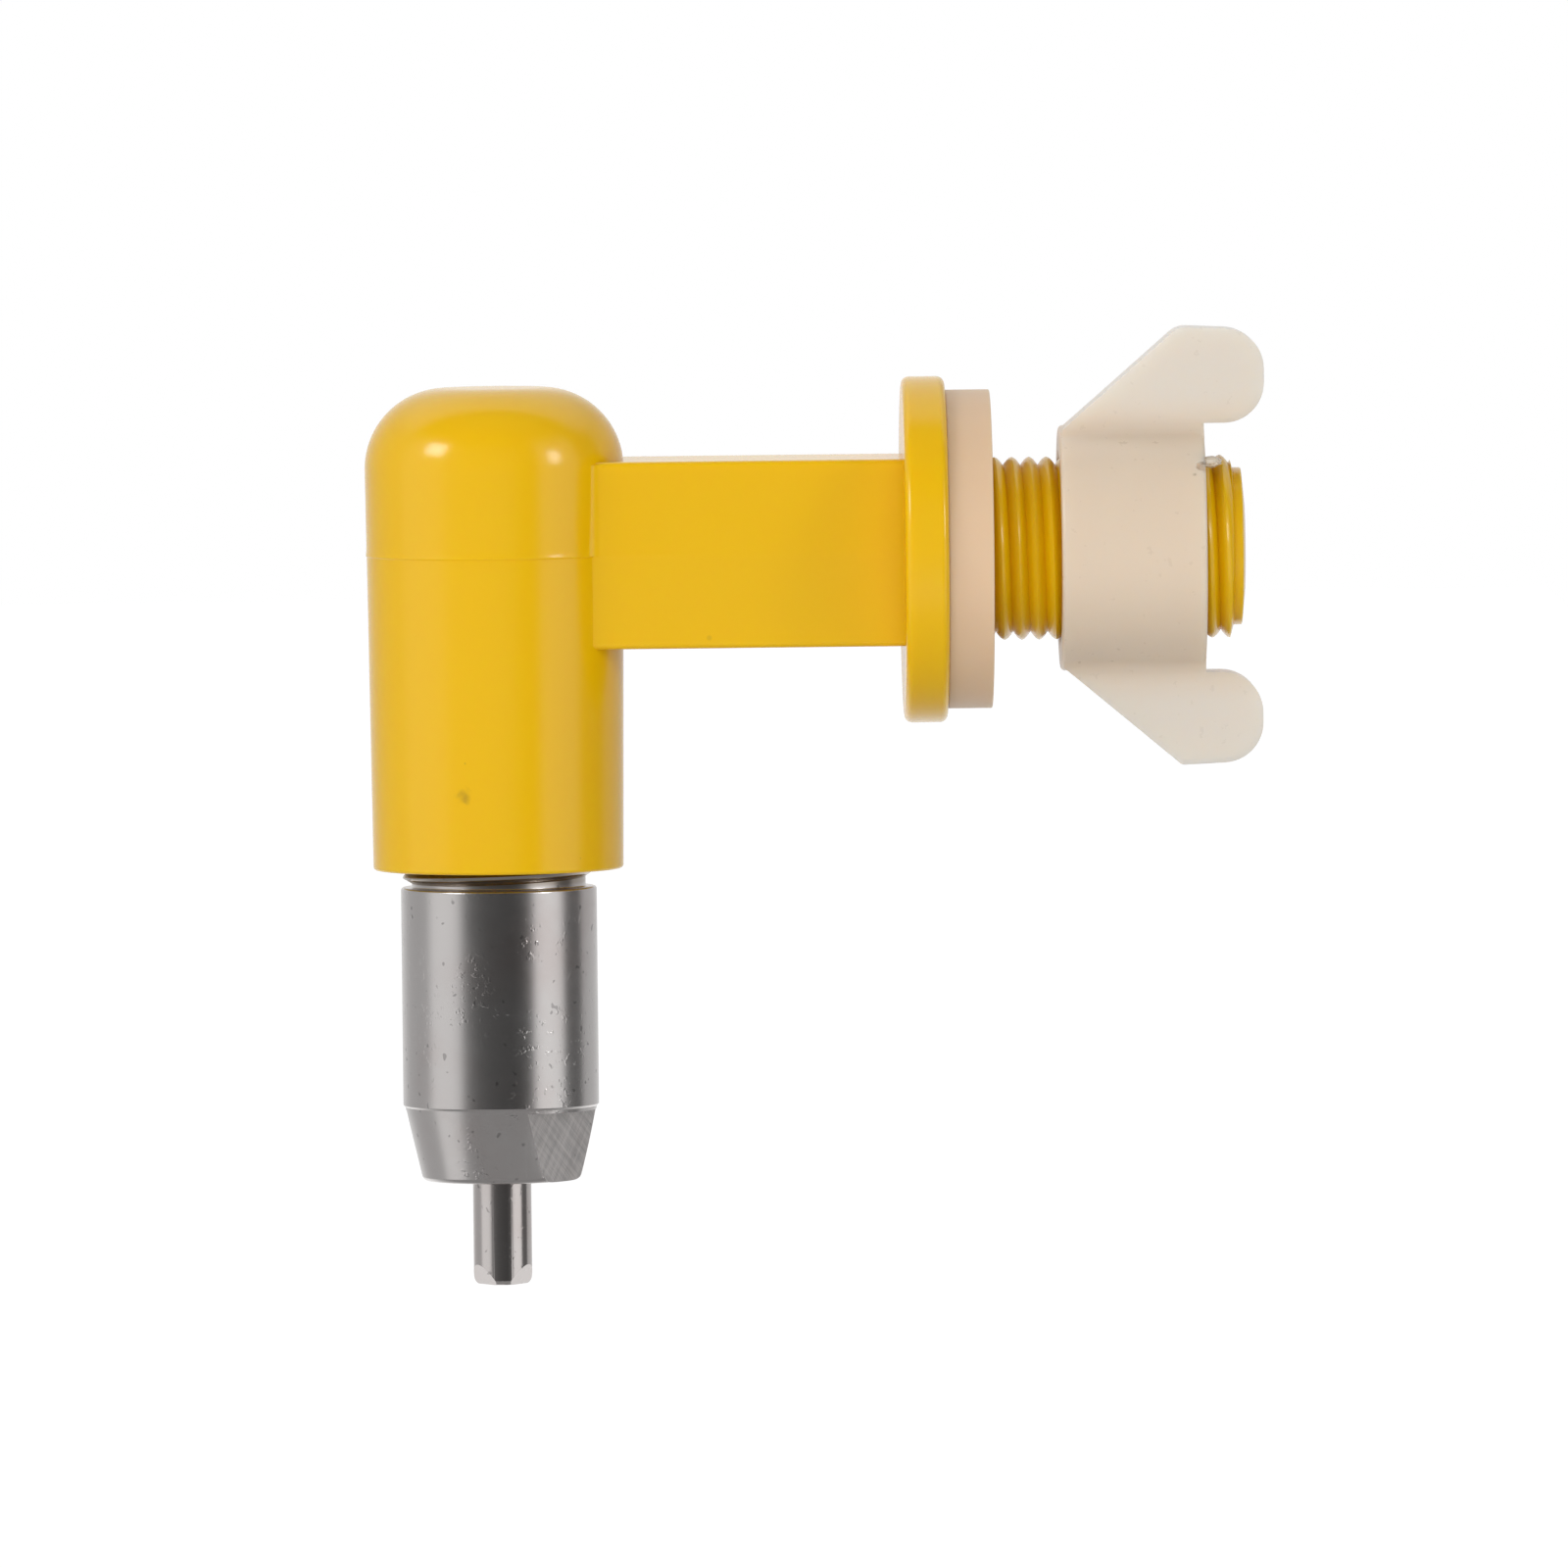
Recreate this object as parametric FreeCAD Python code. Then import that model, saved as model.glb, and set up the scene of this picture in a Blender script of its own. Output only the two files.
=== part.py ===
import FreeCAD, Part
import math
import os

# Right-angle poultry nipple drinker, in millimetres.
# The row's X axis is the axis of the threaded spigot and points into the tank wall.
# Z is up, and the origin lies on the spigot's axis in the flange's sealing face.

Vector = FreeCAD.Vector

# ---- Driving dimensions -------------------------------------------------------

# Elbow housing: barrel with a domed top, arm, flange and threaded spigot
BARREL_OFFSET = 24.6
BARREL_RISE = 9.1
BARREL_DROP = 17.2
BARREL_TOP_R = 7.12
BARREL_RIM_R = 6.83
DOME_R = 4.4
RIM_CHAMFER = 0.2
ARM_HEIGHT = 10.2
ARM_WIDTH = 9.2
ARM_DRAFT_DEG = 1.0
ARM_EDGE_R = 0.25
FLANGE_R = 9.45
FLANGE_THICK = 2.35
FLANGE_CHAMFER = 0.3
SPIGOT_R = 5.0
THREAD_LENGTH = 15.75
PILOT_R = 4.45
PILOT_LENGTH = 0.6
THREAD_END_RUN = 0.25
WATERWAY_R = 2.75
CHAMBER_R = 3.9
CHAMBER_TOP = 5.6
SOCKET_DEPTH = 8.8

# Flange washer
WASHER_R = 8.7
WASHER_THICK = 2.45

# Wing nut
NUT_GAP = 3.75
NUT_LENGTH = 7.9
HUB_R = 6.7
HUB_CHAMFER = 0.2
WING_REACH = 12.05
WING_OVERHANG = 3.3
WING_CREST_X = 6.55
WING_TIP_R = 2.6
WING_THICK = 3.8
WING_ROOT_THICK = 7.4
WING_BLEND_R = 1.6
WING_START_X = 0.15
WING_FOOT_HEIGHT = 5.4
WING_FOOT_SLOPE = 0.6
UPPER_CREST_R = 1.3
LOWER_CREST_R = 0.2
NUT_MOUTH_CHAMFER = 0.35

# Nipple barrel, turned from bar
NECK_R = 5.25
NECK_CHAMFER = 0.4
RELIEF_R = 4.75
RELIEF_LENGTH = 0.5
SHOULDER_GAP = 0.95
BODY_R = 5.35
BODY_LENGTH = 11.9
BODY_CHAMFER = 0.12
NOSE_TOP_R = 5.24
NOSE_LENGTH = 4.15
NOSE_END_R = 4.3
NOSE_CHAMFER = 0.3
NOSE_STEP = 0.12
FLAT_DISTANCE = 3.98
FLAT_AZIMUTH_DEG = 56.0
FLAT_STEP = 0.3
LEDGE_HEIGHT = 4.5
LEDGE_R = 2.0
MOUTH_R = 2.45
PIN_BORE_R = 3.3
INSERT_BORE_R = 3.6

# Trigger pin
PIN_R = 1.6
PIN_EXPOSED = 5.7
PIN_HEAD_R = 2.75
PIN_HEAD_THICK = 1.2
PIN_HEAD_CHAMFER = 0.15
PIN_TIP_FACETS = 3
PIN_TIP_AZIMUTH_DEG = -30.0
PIN_TIP_HEIGHT = 1.1
PIN_TIP_INSET = 0.58
PIN_END_CHAMFER = 0.15

# Valve above the pin
STEM_PLAY = 0.05
STEM_R = 1.3
STEM_FOOT_R = 0.3
STEM_HEAD_R = 2.6
STEM_HEAD_THICK = 1.0
STEM_CONE = 0.5
SEAT_LENGTH = 3.8
SEAT_BORE_R = 1.65
SEAL_THICK = 1.2
SEAL_BORE_R = 1.8
CAP_BORE_R = 3.0
CAP_LIP_R = 4.5
CAP_LIP_THICK = 0.6
CAP_ROOF_THICK = 0.9
CAP_HEAD_ROOM = 1.3
CAP_HOLES = 4
CAP_HOLE_R = 0.7
CAP_HOLE_CIRCLE_R = 1.9
GASKET_THICK = 1.2

# Amount by which a cutting solid runs past the face it cuts
OVERRUN = 1.0

# Clearances, all radial
THREAD_CLEARANCE = 0.05
WASHER_CLEARANCE = 0.05
SOCKET_CLEARANCE = 0.02
INSERT_CLEARANCE = 0.01
GASKET_CLEARANCE = 0.04

# Roundings this large are laid in spans
LONG_ARC_R = 4.0
LONG_ARC_COUNT = 3

# ---- Derived levels, downwards from the spigot's axis -------------------------

RIM_Z = -BARREL_DROP
SOCKET_TOP_Z = RIM_Z + SOCKET_DEPTH
LIP_TOP_Z = SOCKET_TOP_Z - GASKET_THICK
NECK_TOP_Z = LIP_TOP_Z - CAP_LIP_THICK
SHOULDER_Z = RIM_Z - SHOULDER_GAP
BODY_END_Z = SHOULDER_Z - BODY_LENGTH
NOSE_END_Z = BODY_END_Z - NOSE_LENGTH
LEDGE_Z = NOSE_END_Z + LEDGE_HEIGHT
PIN_TOP_Z = LEDGE_Z + PIN_HEAD_THICK
PIN_END_Z = NOSE_END_Z - PIN_EXPOSED
CAP_ROOF_Z = LIP_TOP_Z - CAP_ROOF_THICK
SEAL_TOP_Z = CAP_ROOF_Z - CAP_HEAD_ROOM - STEM_HEAD_THICK
SEAT_TOP_Z = SEAL_TOP_Z - SEAL_THICK
SEAT_END_Z = SEAT_TOP_Z - SEAT_LENGTH
NUT_X = WASHER_THICK + NUT_GAP
SPIGOT_END = THREAD_LENGTH + PILOT_LENGTH


# ---- Shared operations --------------------------------------------------------

def in_xz(u, v):
    return Vector(u, 0, v)


def in_yz(u, v):
    return Vector(0, u, v)


def outline(corners, place):
    """Face inside the closed outline through corners (u, v, easing).

    An easing above 0 rounds the corner to that radius, and one below 0 chamfers it by that leg.
    A rounding of LONG_ARC_R or more is laid in several spans, which keeps its faces evenly shaped.
    """
    count = len(corners)
    points = [Vector(u, v, 0) for u, v, _ in corners]
    entries = []
    edges = []
    for i, (_, _, easing) in enumerate(corners):
        corner = points[i]
        back = (points[i - 1] - corner).normalize()
        ahead = (points[(i + 1) % count] - corner).normalize()
        half = back.getAngle(ahead) / 2
        run = easing / math.tan(half) if easing > 0 else -easing
        start = corner + back * run
        end = corner + ahead * run
        entries.append((start, end))
        if easing > 0:
            centre = corner + (back + ahead).normalize() * (easing / math.sin(half))
            sweep = math.pi - 2 * half
            spans = LONG_ARC_COUNT if easing >= LONG_ARC_R else 1
            stops = []
            for step in range(2 * spans + 1):
                angle = sweep * step / (2 * spans)
                lean = (start - centre) * math.sin(sweep - angle) + (end - centre) * math.sin(angle)
                stop = centre + lean * (1 / math.sin(sweep))
                stops.append(place(stop.x, stop.y))
            for k in range(0, 2 * spans, 2):
                edges.append(Part.Arc(stops[k], stops[k + 1], stops[k + 2]).toShape())
        elif easing < 0:
            edges.append(Part.LineSegment(place(start.x, start.y), place(end.x, end.y)).toShape())
    for i, (_, end) in enumerate(entries):
        start = entries[(i + 1) % count][0]
        if (start - end).Length > 1e-6:
            edges.append(Part.LineSegment(place(end.x, end.y), place(start.x, start.y)).toShape())
    return Part.Face(Part.Wire(Part.__sortEdges__(edges)))


def turned(corners):
    """Solid of revolution about the barrel's axis, from corners (radius, z, rounding)."""
    shape = outline(corners, in_xz).revolve(Vector(0, 0, 0), Vector(0, 0, 1), 360)
    shape.translate(Vector(-BARREL_OFFSET, 0, 0))
    return shape


def turned_on_spigot(corners):
    """Solid of revolution about the spigot's axis, from corners (x, radius, rounding)."""
    return outline(corners, in_xz).revolve(Vector(0, 0, 0), Vector(1, 0, 0), 360)


def ring(inner, outer, low, high, rounding=0):
    return turned([(inner, high, 0), (outer, high, rounding), (outer, low, rounding), (inner, low, 0)])


def save(shape, node):
    shape.exportStep("parts/" + node + ".step")


# ---- Pieces -------------------------------------------------------------------

def elbow_housing():
    barrel = turned([
        (0, BARREL_RISE, 0),
        (BARREL_TOP_R, BARREL_RISE, DOME_R),
        (BARREL_RIM_R, RIM_Z, -RIM_CHAMFER),
        (0, RIM_Z, 0),
    ])
    half_height = ARM_HEIGHT / 2
    half_width = ARM_WIDTH / 2
    narrow = half_width - half_height * math.tan(math.radians(ARM_DRAFT_DEG))
    section = outline([
        (-narrow, half_height, ARM_EDGE_R),
        (narrow, half_height, ARM_EDGE_R),
        (half_width, 0, 0),
        (narrow, -half_height, ARM_EDGE_R),
        (-narrow, -half_height, ARM_EDGE_R),
        (-half_width, 0, 0),
    ], in_yz)
    arm = section.extrude(Vector(BARREL_OFFSET - FLANGE_THICK / 2, 0, 0))
    arm.translate(Vector(-BARREL_OFFSET, 0, 0))
    flange_and_spigot = turned_on_spigot([
        (-FLANGE_THICK, 0, 0),
        (-FLANGE_THICK, FLANGE_R, -FLANGE_CHAMFER),
        (0, FLANGE_R, -FLANGE_CHAMFER),
        (0, SPIGOT_R, 0),
        (THREAD_LENGTH, SPIGOT_R, 0),
        (THREAD_LENGTH + THREAD_END_RUN, PILOT_R, 0),
        (SPIGOT_END, PILOT_R, 0),
        (SPIGOT_END, 0, 0),
    ])
    socket_r = NECK_R + SOCKET_CLEARANCE
    cavity = turned([
        (0, CHAMBER_TOP, 0),
        (CHAMBER_R, CHAMBER_TOP, 0),
        (CHAMBER_R, SOCKET_TOP_Z, 0),
        (socket_r, SOCKET_TOP_Z, 0),
        (socket_r, RIM_Z + NECK_CHAMFER, 0),
        (socket_r + NECK_CHAMFER, RIM_Z, 0),
        (socket_r + NECK_CHAMFER, RIM_Z - OVERRUN, 0),
        (0, RIM_Z - OVERRUN, 0),
    ])
    waterway = Part.makeCylinder(
        WATERWAY_R, BARREL_OFFSET + SPIGOT_END + OVERRUN,
        Vector(-BARREL_OFFSET, 0, 0), Vector(1, 0, 0))
    solid = barrel.fuse([arm, flange_and_spigot]).removeSplitter()
    return solid.cut([cavity, waterway])


def flange_washer():
    bore = SPIGOT_R + WASHER_CLEARANCE
    return turned_on_spigot([
        (0, bore, 0),
        (0, WASHER_R, 0),
        (WASHER_THICK, WASHER_R, 0),
        (WASHER_THICK, bore, 0),
    ])


def wing(crest_r):
    """Upper wing on the hub, cut from its side outline and its end outline."""
    side = outline([
        (WING_START_X, 0, 0),
        (WING_START_X, HUB_R - HUB_CHAMFER, 0),
        (WING_CREST_X, WING_REACH, crest_r),
        (NUT_LENGTH + WING_OVERHANG, WING_REACH, WING_TIP_R),
        (NUT_LENGTH + WING_OVERHANG, HUB_R, WING_TIP_R),
        (NUT_LENGTH, HUB_R, 0),
        (NUT_LENGTH, 0, 0),
    ], in_xz).extrude(Vector(0, WING_ROOT_THICK, 0))
    side.translate(Vector(0, -WING_ROOT_THICK / 2, 0))
    upper_foot = WING_FOOT_HEIGHT + WING_FOOT_SLOPE / 2
    lower_foot = WING_FOOT_HEIGHT - WING_FOOT_SLOPE / 2
    end = outline([
        (-WING_THICK / 2, WING_REACH + OVERRUN, 0),
        (WING_THICK / 2, WING_REACH + OVERRUN, 0),
        (WING_THICK / 2, upper_foot, WING_BLEND_R),
        (WING_ROOT_THICK / 2, lower_foot, 0),
        (WING_ROOT_THICK / 2, 0, 0),
        (-WING_ROOT_THICK / 2, 0, 0),
        (-WING_ROOT_THICK / 2, lower_foot, 0),
        (-WING_THICK / 2, upper_foot, WING_BLEND_R),
    ], in_yz).extrude(Vector(NUT_LENGTH + WING_OVERHANG + OVERRUN, 0, 0))
    return side.common(end)


def wing_nut():
    hub = turned_on_spigot([
        (0, 0, 0),
        (0, HUB_R, -HUB_CHAMFER),
        (NUT_LENGTH, HUB_R, -HUB_CHAMFER),
        (NUT_LENGTH, 0, 0),
    ])
    upper = wing(UPPER_CREST_R)
    lower = wing(LOWER_CREST_R)
    lower.rotate(Vector(0, 0, 0), Vector(1, 0, 0), 180)
    bore = SPIGOT_R + THREAD_CLEARANCE
    mouth = bore + NUT_MOUTH_CHAMFER
    hole = turned_on_spigot([
        (-OVERRUN, 0, 0),
        (-OVERRUN, mouth, 0),
        (0, mouth, 0),
        (NUT_MOUTH_CHAMFER, bore, 0),
        (NUT_LENGTH - NUT_MOUTH_CHAMFER, bore, 0),
        (NUT_LENGTH, mouth, 0),
        (NUT_LENGTH + OVERRUN, mouth, 0),
        (NUT_LENGTH + OVERRUN, 0, 0),
    ])
    nut = hub.fuse([upper, lower]).removeSplitter().cut(hole)
    nut.translate(Vector(NUT_X, 0, 0))
    return nut


def nipple_barrel():
    body = turned([
        (INSERT_BORE_R, NECK_TOP_Z, 0),
        (NECK_R - NECK_CHAMFER, NECK_TOP_Z, 0),
        (NECK_R, NECK_TOP_Z - NECK_CHAMFER, 0),
        (NECK_R, SHOULDER_Z + RELIEF_LENGTH, 0),
        (RELIEF_R, SHOULDER_Z + RELIEF_LENGTH / 2, 0),
        (RELIEF_R, SHOULDER_Z, 0),
        (BODY_R, SHOULDER_Z, -BODY_CHAMFER),
        (BODY_R, BODY_END_Z, 0),
        (NOSE_TOP_R, BODY_END_Z - NOSE_STEP, 0),
        (NOSE_END_R, NOSE_END_Z, -NOSE_CHAMFER),
        (MOUTH_R, NOSE_END_Z, 0),
        (LEDGE_R, LEDGE_Z, 0),
        (PIN_BORE_R, LEDGE_Z, 0),
        (PIN_BORE_R, SEAT_END_Z, 0),
        (INSERT_BORE_R, SEAT_END_Z, 0),
    ])
    for side in (0, 180):
        flat = Part.makeBox(BODY_R, 2 * BODY_R, NOSE_LENGTH)
        flat.translate(Vector(FLAT_DISTANCE, -BODY_R, NOSE_END_Z - FLAT_STEP))
        flat.rotate(Vector(0, 0, 0), Vector(0, 0, 1), FLAT_AZIMUTH_DEG - 90 + side)
        flat.translate(Vector(-BARREL_OFFSET, 0, 0))
        body = body.cut(flat)
    return body


def trigger_pin():
    pin = turned([
        (0, PIN_TOP_Z, 0),
        (PIN_HEAD_R, PIN_TOP_Z, -PIN_HEAD_CHAMFER),
        (PIN_HEAD_R, LEDGE_Z, 0),
        (PIN_R, LEDGE_Z, 0),
        (PIN_R, PIN_END_Z, -PIN_END_CHAMFER),
        (0, PIN_END_Z, 0),
    ])
    slope = math.degrees(math.atan2(PIN_TIP_INSET, PIN_TIP_HEIGHT))
    for i in range(PIN_TIP_FACETS):
        facet = Part.makeBox(PIN_R, 4 * PIN_R, 4 * PIN_R)
        facet.translate(Vector(0, -2 * PIN_R, -2 * PIN_R))
        facet.rotate(Vector(0, 0, 0), Vector(0, 1, 0), slope)
        facet.translate(Vector(PIN_R, 0, PIN_END_Z + PIN_TIP_HEIGHT))
        facet.rotate(Vector(0, 0, 0), Vector(0, 0, 1), PIN_TIP_AZIMUTH_DEG + 360 / PIN_TIP_FACETS * i)
        facet.translate(Vector(-BARREL_OFFSET, 0, 0))
        pin = pin.cut(facet)
    return pin


def valve_stem():
    foot_z = PIN_TOP_Z + STEM_PLAY
    return turned([
        (0, SEAL_TOP_Z + STEM_HEAD_THICK, 0),
        (STEM_HEAD_R - STEM_CONE, SEAL_TOP_Z + STEM_HEAD_THICK, 0),
        (STEM_HEAD_R, SEAL_TOP_Z + STEM_HEAD_THICK - STEM_CONE, 0),
        (STEM_HEAD_R, SEAL_TOP_Z, 0),
        (STEM_R, SEAL_TOP_Z, 0),
        (STEM_R, foot_z, STEM_FOOT_R - STEM_R),
        (0, foot_z, 0),
    ])


def valve_seat():
    return ring(SEAT_BORE_R, INSERT_BORE_R - INSERT_CLEARANCE, SEAT_END_Z, SEAT_TOP_Z)


def seat_seal():
    return ring(SEAL_BORE_R, INSERT_BORE_R - INSERT_CLEARANCE, SEAT_TOP_Z, SEAL_TOP_Z)


def barrel_cap():
    skirt_r = INSERT_BORE_R - INSERT_CLEARANCE
    cap = turned([
        (0, LIP_TOP_Z, 0),
        (CAP_LIP_R, LIP_TOP_Z, 0),
        (CAP_LIP_R, NECK_TOP_Z, 0),
        (skirt_r, NECK_TOP_Z, 0),
        (skirt_r, SEAL_TOP_Z, 0),
        (CAP_BORE_R, SEAL_TOP_Z, 0),
        (CAP_BORE_R, CAP_ROOF_Z, 0),
        (0, CAP_ROOF_Z, 0),
    ])
    for i in range(CAP_HOLES):
        angle = 2 * math.pi * i / CAP_HOLES
        x = CAP_HOLE_CIRCLE_R * math.cos(angle) - BARREL_OFFSET
        y = CAP_HOLE_CIRCLE_R * math.sin(angle)
        base = Vector(x, y, CAP_ROOF_Z - OVERRUN)
        cap = cap.cut(Part.makeCylinder(CAP_HOLE_R, CAP_ROOF_THICK + 2 * OVERRUN, base))
    return cap


def barrel_gasket():
    outer = NECK_R + SOCKET_CLEARANCE - GASKET_CLEARANCE
    return ring(CHAMBER_R, outer, LIP_TOP_Z, SOCKET_TOP_Z)


os.makedirs("parts", exist_ok=True)
save(elbow_housing(), "elbow_housing")
save(flange_washer(), "flange_washer")
save(wing_nut(), "wing_nut")
save(nipple_barrel(), "nipple_barrel")
save(trigger_pin(), "trigger_pin")
save(valve_stem(), "valve_stem")
save(valve_seat(), "valve_seat")
save(seat_seal(), "seat_seal")
save(barrel_cap(), "barrel_cap")
save(barrel_gasket(), "barrel_gasket")
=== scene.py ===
"""A right-angle poultry nipple drinker: moulded elbow, washer, wing nut and stainless nipple."""

import math

import bpy
from bpy.props import FloatProperty, FloatVectorProperty, IntProperty, PointerProperty
from bpy.types import Operator, Panel, PropertyGroup
from mathutils import Matrix, Vector


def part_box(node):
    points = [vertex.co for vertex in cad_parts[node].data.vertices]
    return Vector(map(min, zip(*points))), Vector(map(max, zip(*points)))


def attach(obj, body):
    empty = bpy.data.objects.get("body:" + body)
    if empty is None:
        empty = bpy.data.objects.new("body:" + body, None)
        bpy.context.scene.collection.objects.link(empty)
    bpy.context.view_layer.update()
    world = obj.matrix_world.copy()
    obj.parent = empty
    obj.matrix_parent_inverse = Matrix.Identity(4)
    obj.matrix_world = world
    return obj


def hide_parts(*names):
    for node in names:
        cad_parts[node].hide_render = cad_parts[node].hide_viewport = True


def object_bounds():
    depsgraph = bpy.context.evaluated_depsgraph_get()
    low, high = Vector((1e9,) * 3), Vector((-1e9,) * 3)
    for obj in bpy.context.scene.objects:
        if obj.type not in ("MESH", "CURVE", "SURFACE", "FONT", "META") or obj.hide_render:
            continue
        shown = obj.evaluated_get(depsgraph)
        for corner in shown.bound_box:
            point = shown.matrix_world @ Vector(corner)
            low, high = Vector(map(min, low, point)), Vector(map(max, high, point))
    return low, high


bl_info = {
    "name": "Nipple drinker",
    "version": (1, 0, 0),
    "blender": (4, 5, 0),
    "location": "View3D > Sidebar > Drinker",
    "description": "Builds a right-angle poultry nipple drinker on its CAD frame",
    "category": "Object",
}

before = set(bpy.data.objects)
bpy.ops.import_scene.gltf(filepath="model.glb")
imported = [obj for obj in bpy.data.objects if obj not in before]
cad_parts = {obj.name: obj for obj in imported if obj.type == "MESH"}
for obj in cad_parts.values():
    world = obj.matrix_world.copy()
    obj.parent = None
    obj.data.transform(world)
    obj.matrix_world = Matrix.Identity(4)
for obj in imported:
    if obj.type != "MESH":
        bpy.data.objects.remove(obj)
CAD_LOW, CAD_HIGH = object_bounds()

MM = 0.001
MERGE = 1e-6
ELBOW_LOW, ELBOW_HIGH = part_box("elbow_housing")
WASHER_LOW, WASHER_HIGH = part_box("flange_washer")
NUT_LOW, NUT_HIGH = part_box("wing_nut")
NIPPLE_LOW, NIPPLE_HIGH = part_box("nipple_barrel")
PIN_LOW, PIN_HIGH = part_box("trigger_pin")
SEAT_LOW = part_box("valve_seat")[0]
GASKET_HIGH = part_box("barrel_gasket")[1]
BARREL_X = (NIPPLE_LOW.x + NIPPLE_HIGH.x) / 2
X_AXIS = (1, 0, 0)
Z_AXIS = (0, 0, 1)


# ---- Settings ---------------------------------------------------------------


def length(name, description, millimetres):
    return FloatProperty(
        name=name, description=description, default=millimetres * MM, unit="LENGTH", precision=5
    )


def angle(name, description, degrees):
    return FloatProperty(
        name=name, description=description, default=math.radians(degrees), subtype="ANGLE"
    )


def power(name, watts):
    return FloatProperty(name=name, description="Power in watts", default=watts)


def colour(name, description, red, green, blue):
    return FloatVectorProperty(
        name=name,
        description=description,
        subtype="COLOR",
        size=3,
        min=0,
        max=1,
        default=(red, green, blue),
    )


class ElbowSizes(PropertyGroup):
    """Sizes of the elbow housing and its thread."""

    barrel_top_r: length("Barrel top radius", "Barrel radius where the dome begins", 7.12)
    barrel_rim_r: length("Barrel rim radius", "Barrel radius at its open rim", 6.83)
    barrel_rise: length("Barrel rise", "Height of the dome over the spigot's axis", 9.1)
    dome_r: length("Dome radius", "Radius of the rounded shoulder of the dome", 4.4)
    rim_r: length("Rim rounding", "Radius of the rim's outer edge", 0.2)
    parting_step: length("Parting step", "How far the upper mould half stands proud", 0.01)
    arm_height: length("Arm height", "Height of the square arm", 10.2)
    arm_width: length("Arm width", "Width of the square arm", 9.3)
    arm_edge_r: length("Arm edge rounding", "Radius of the arm's long edges", 0.3)
    arm_draft: angle("Arm draft", "How far the arm's sides lean in from the parting line", 1)
    fillet_r: length("Fillet radius", "Radius of the corner between arm and barrel", 1.1)
    flange_thick: length("Flange thickness", "Thickness of the round flange", 2.35)
    flange_edge_r: length("Flange edge rounding", "Radius of the flange's edges", 0.42)
    thread_r: length("Thread radius", "Crest radius of the spigot's thread", 5.0)
    thread_pitch: length("Thread pitch", "Distance from crest to crest", 0.945)
    thread_depth: length("Thread depth", "Depth of the groove below the crest", 0.46)
    thread_length: length("Thread length", "Length of thread past the flange", 15.75)
    pilot_r: length("Pilot radius", "Radius of the plain end of the spigot", 4.3)
    end_dome: length("End dome", "How far the spigot's end face bulges", 0.22)
    waterway_r: length("Waterway radius", "Radius of the bore through spigot and arm", 2.75)
    chamber_r: length("Chamber radius", "Radius of the hollow in the barrel", 3.9)
    chamber_top: length("Chamber top", "Height of the hollow over the spigot's axis", 5.6)
    socket_r: length("Socket radius", "Radius of the socket that takes the nipple", 5.27)


class NutSizes(PropertyGroup):
    """Sizes of the wing nut."""

    hub_r: length("Hub radius", "Radius of the round hub", 6.7)
    hub_length: length("Hub length", "Length of the hub along the spigot", 7.9)
    hub_edge_r: length("Hub edge rounding", "Radius of the hub's edges", 0.22)
    bore_r: length("Bore radius", "Radius of the nut's bore", 5.05)
    wing_thick: length("Wing thickness", "Thickness of a wing", 3.8)
    root_blend: length("Root blend", "Radius of the blend between wing and hub", 1.6)
    wing_under: length("Wing underside", "Height of the tip's underside over the axis", 6.8)
    wing_start: length("Wing start", "Where the slanted edge leaves the hub", 0.15)
    wing_crest: length("Wing crest", "Where the slanted edge meets the wing's top", 6.55)
    wing_tip_r: length("Wing tip radius", "Radius of the wing's tip", 2.2)
    wing_edge_r: length("Wing edge rounding", "Radius of the wing's edges", 0.4)
    upper_crest_r: length("Upper crest radius", "Radius of the upper wing's crest", 1.3)
    lower_crest_r: length("Lower crest radius", "Radius of the lower wing's crest", 0.3)


class NippleSizes(PropertyGroup):
    """Sizes of the turned nipple and its trigger pin."""

    neck_r: length("Neck radius", "Crest radius of the neck's thread", 5.25)
    neck_pitch: length("Neck pitch", "Distance from crest to crest on the neck", 1.0)
    neck_depth: length("Neck thread depth", "Depth of the neck's thread", 0.5)
    body_r: length("Body radius", "Radius of the plain body", 5.35)
    body_length: length("Body length", "Length of the plain body", 11.9)
    shoulder_z: length("Shoulder", "Height of the body's shoulder", -18.15)
    nose_top_r: length("Nose top radius", "Radius where the cone begins", 5.24)
    nose_end_r: length("Nose end radius", "Radius of the cone's end", 4.3)
    flat_distance: length("Flat distance", "Distance of a milled flat from the axis", 3.98)
    flat_turn: angle("Flat turn", "Where the first flat faces, from the X axis", -34)
    insert_bore_r: length("Insert bore radius", "Bore that holds seat, seal and cap", 3.6)
    pin_bore_r: length("Pin bore radius", "Bore round the pin's head", 3.3)
    ledge_r: length("Ledge radius", "Hole in the ledge that the pin stands on", 2.0)
    ledge_z: length("Ledge", "Height of the ledge", -29.7)
    mouth_r: length("Mouth radius", "Radius of the flared mouth", 2.45)
    pin_r: length("Pin radius", "Radius of the trigger pin", 1.6)
    pin_head_r: length("Pin head radius", "Radius of the pin's head", 2.75)
    pin_head_thick: length("Pin head thickness", "Thickness of the pin's head", 1.2)
    pin_facets: IntProperty(
        name="Pin facets", description="Facets ground on the pin's tip", default=3
    )
    pin_tip_height: length("Pin tip height", "Height of a facet", 1.1)
    pin_tip_inset: length("Pin tip inset", "How far a facet cuts in at the end", 0.58)
    pin_tip_turn: angle("Pin tip turn", "Where the first facet faces, from the X axis", -30)


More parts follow.
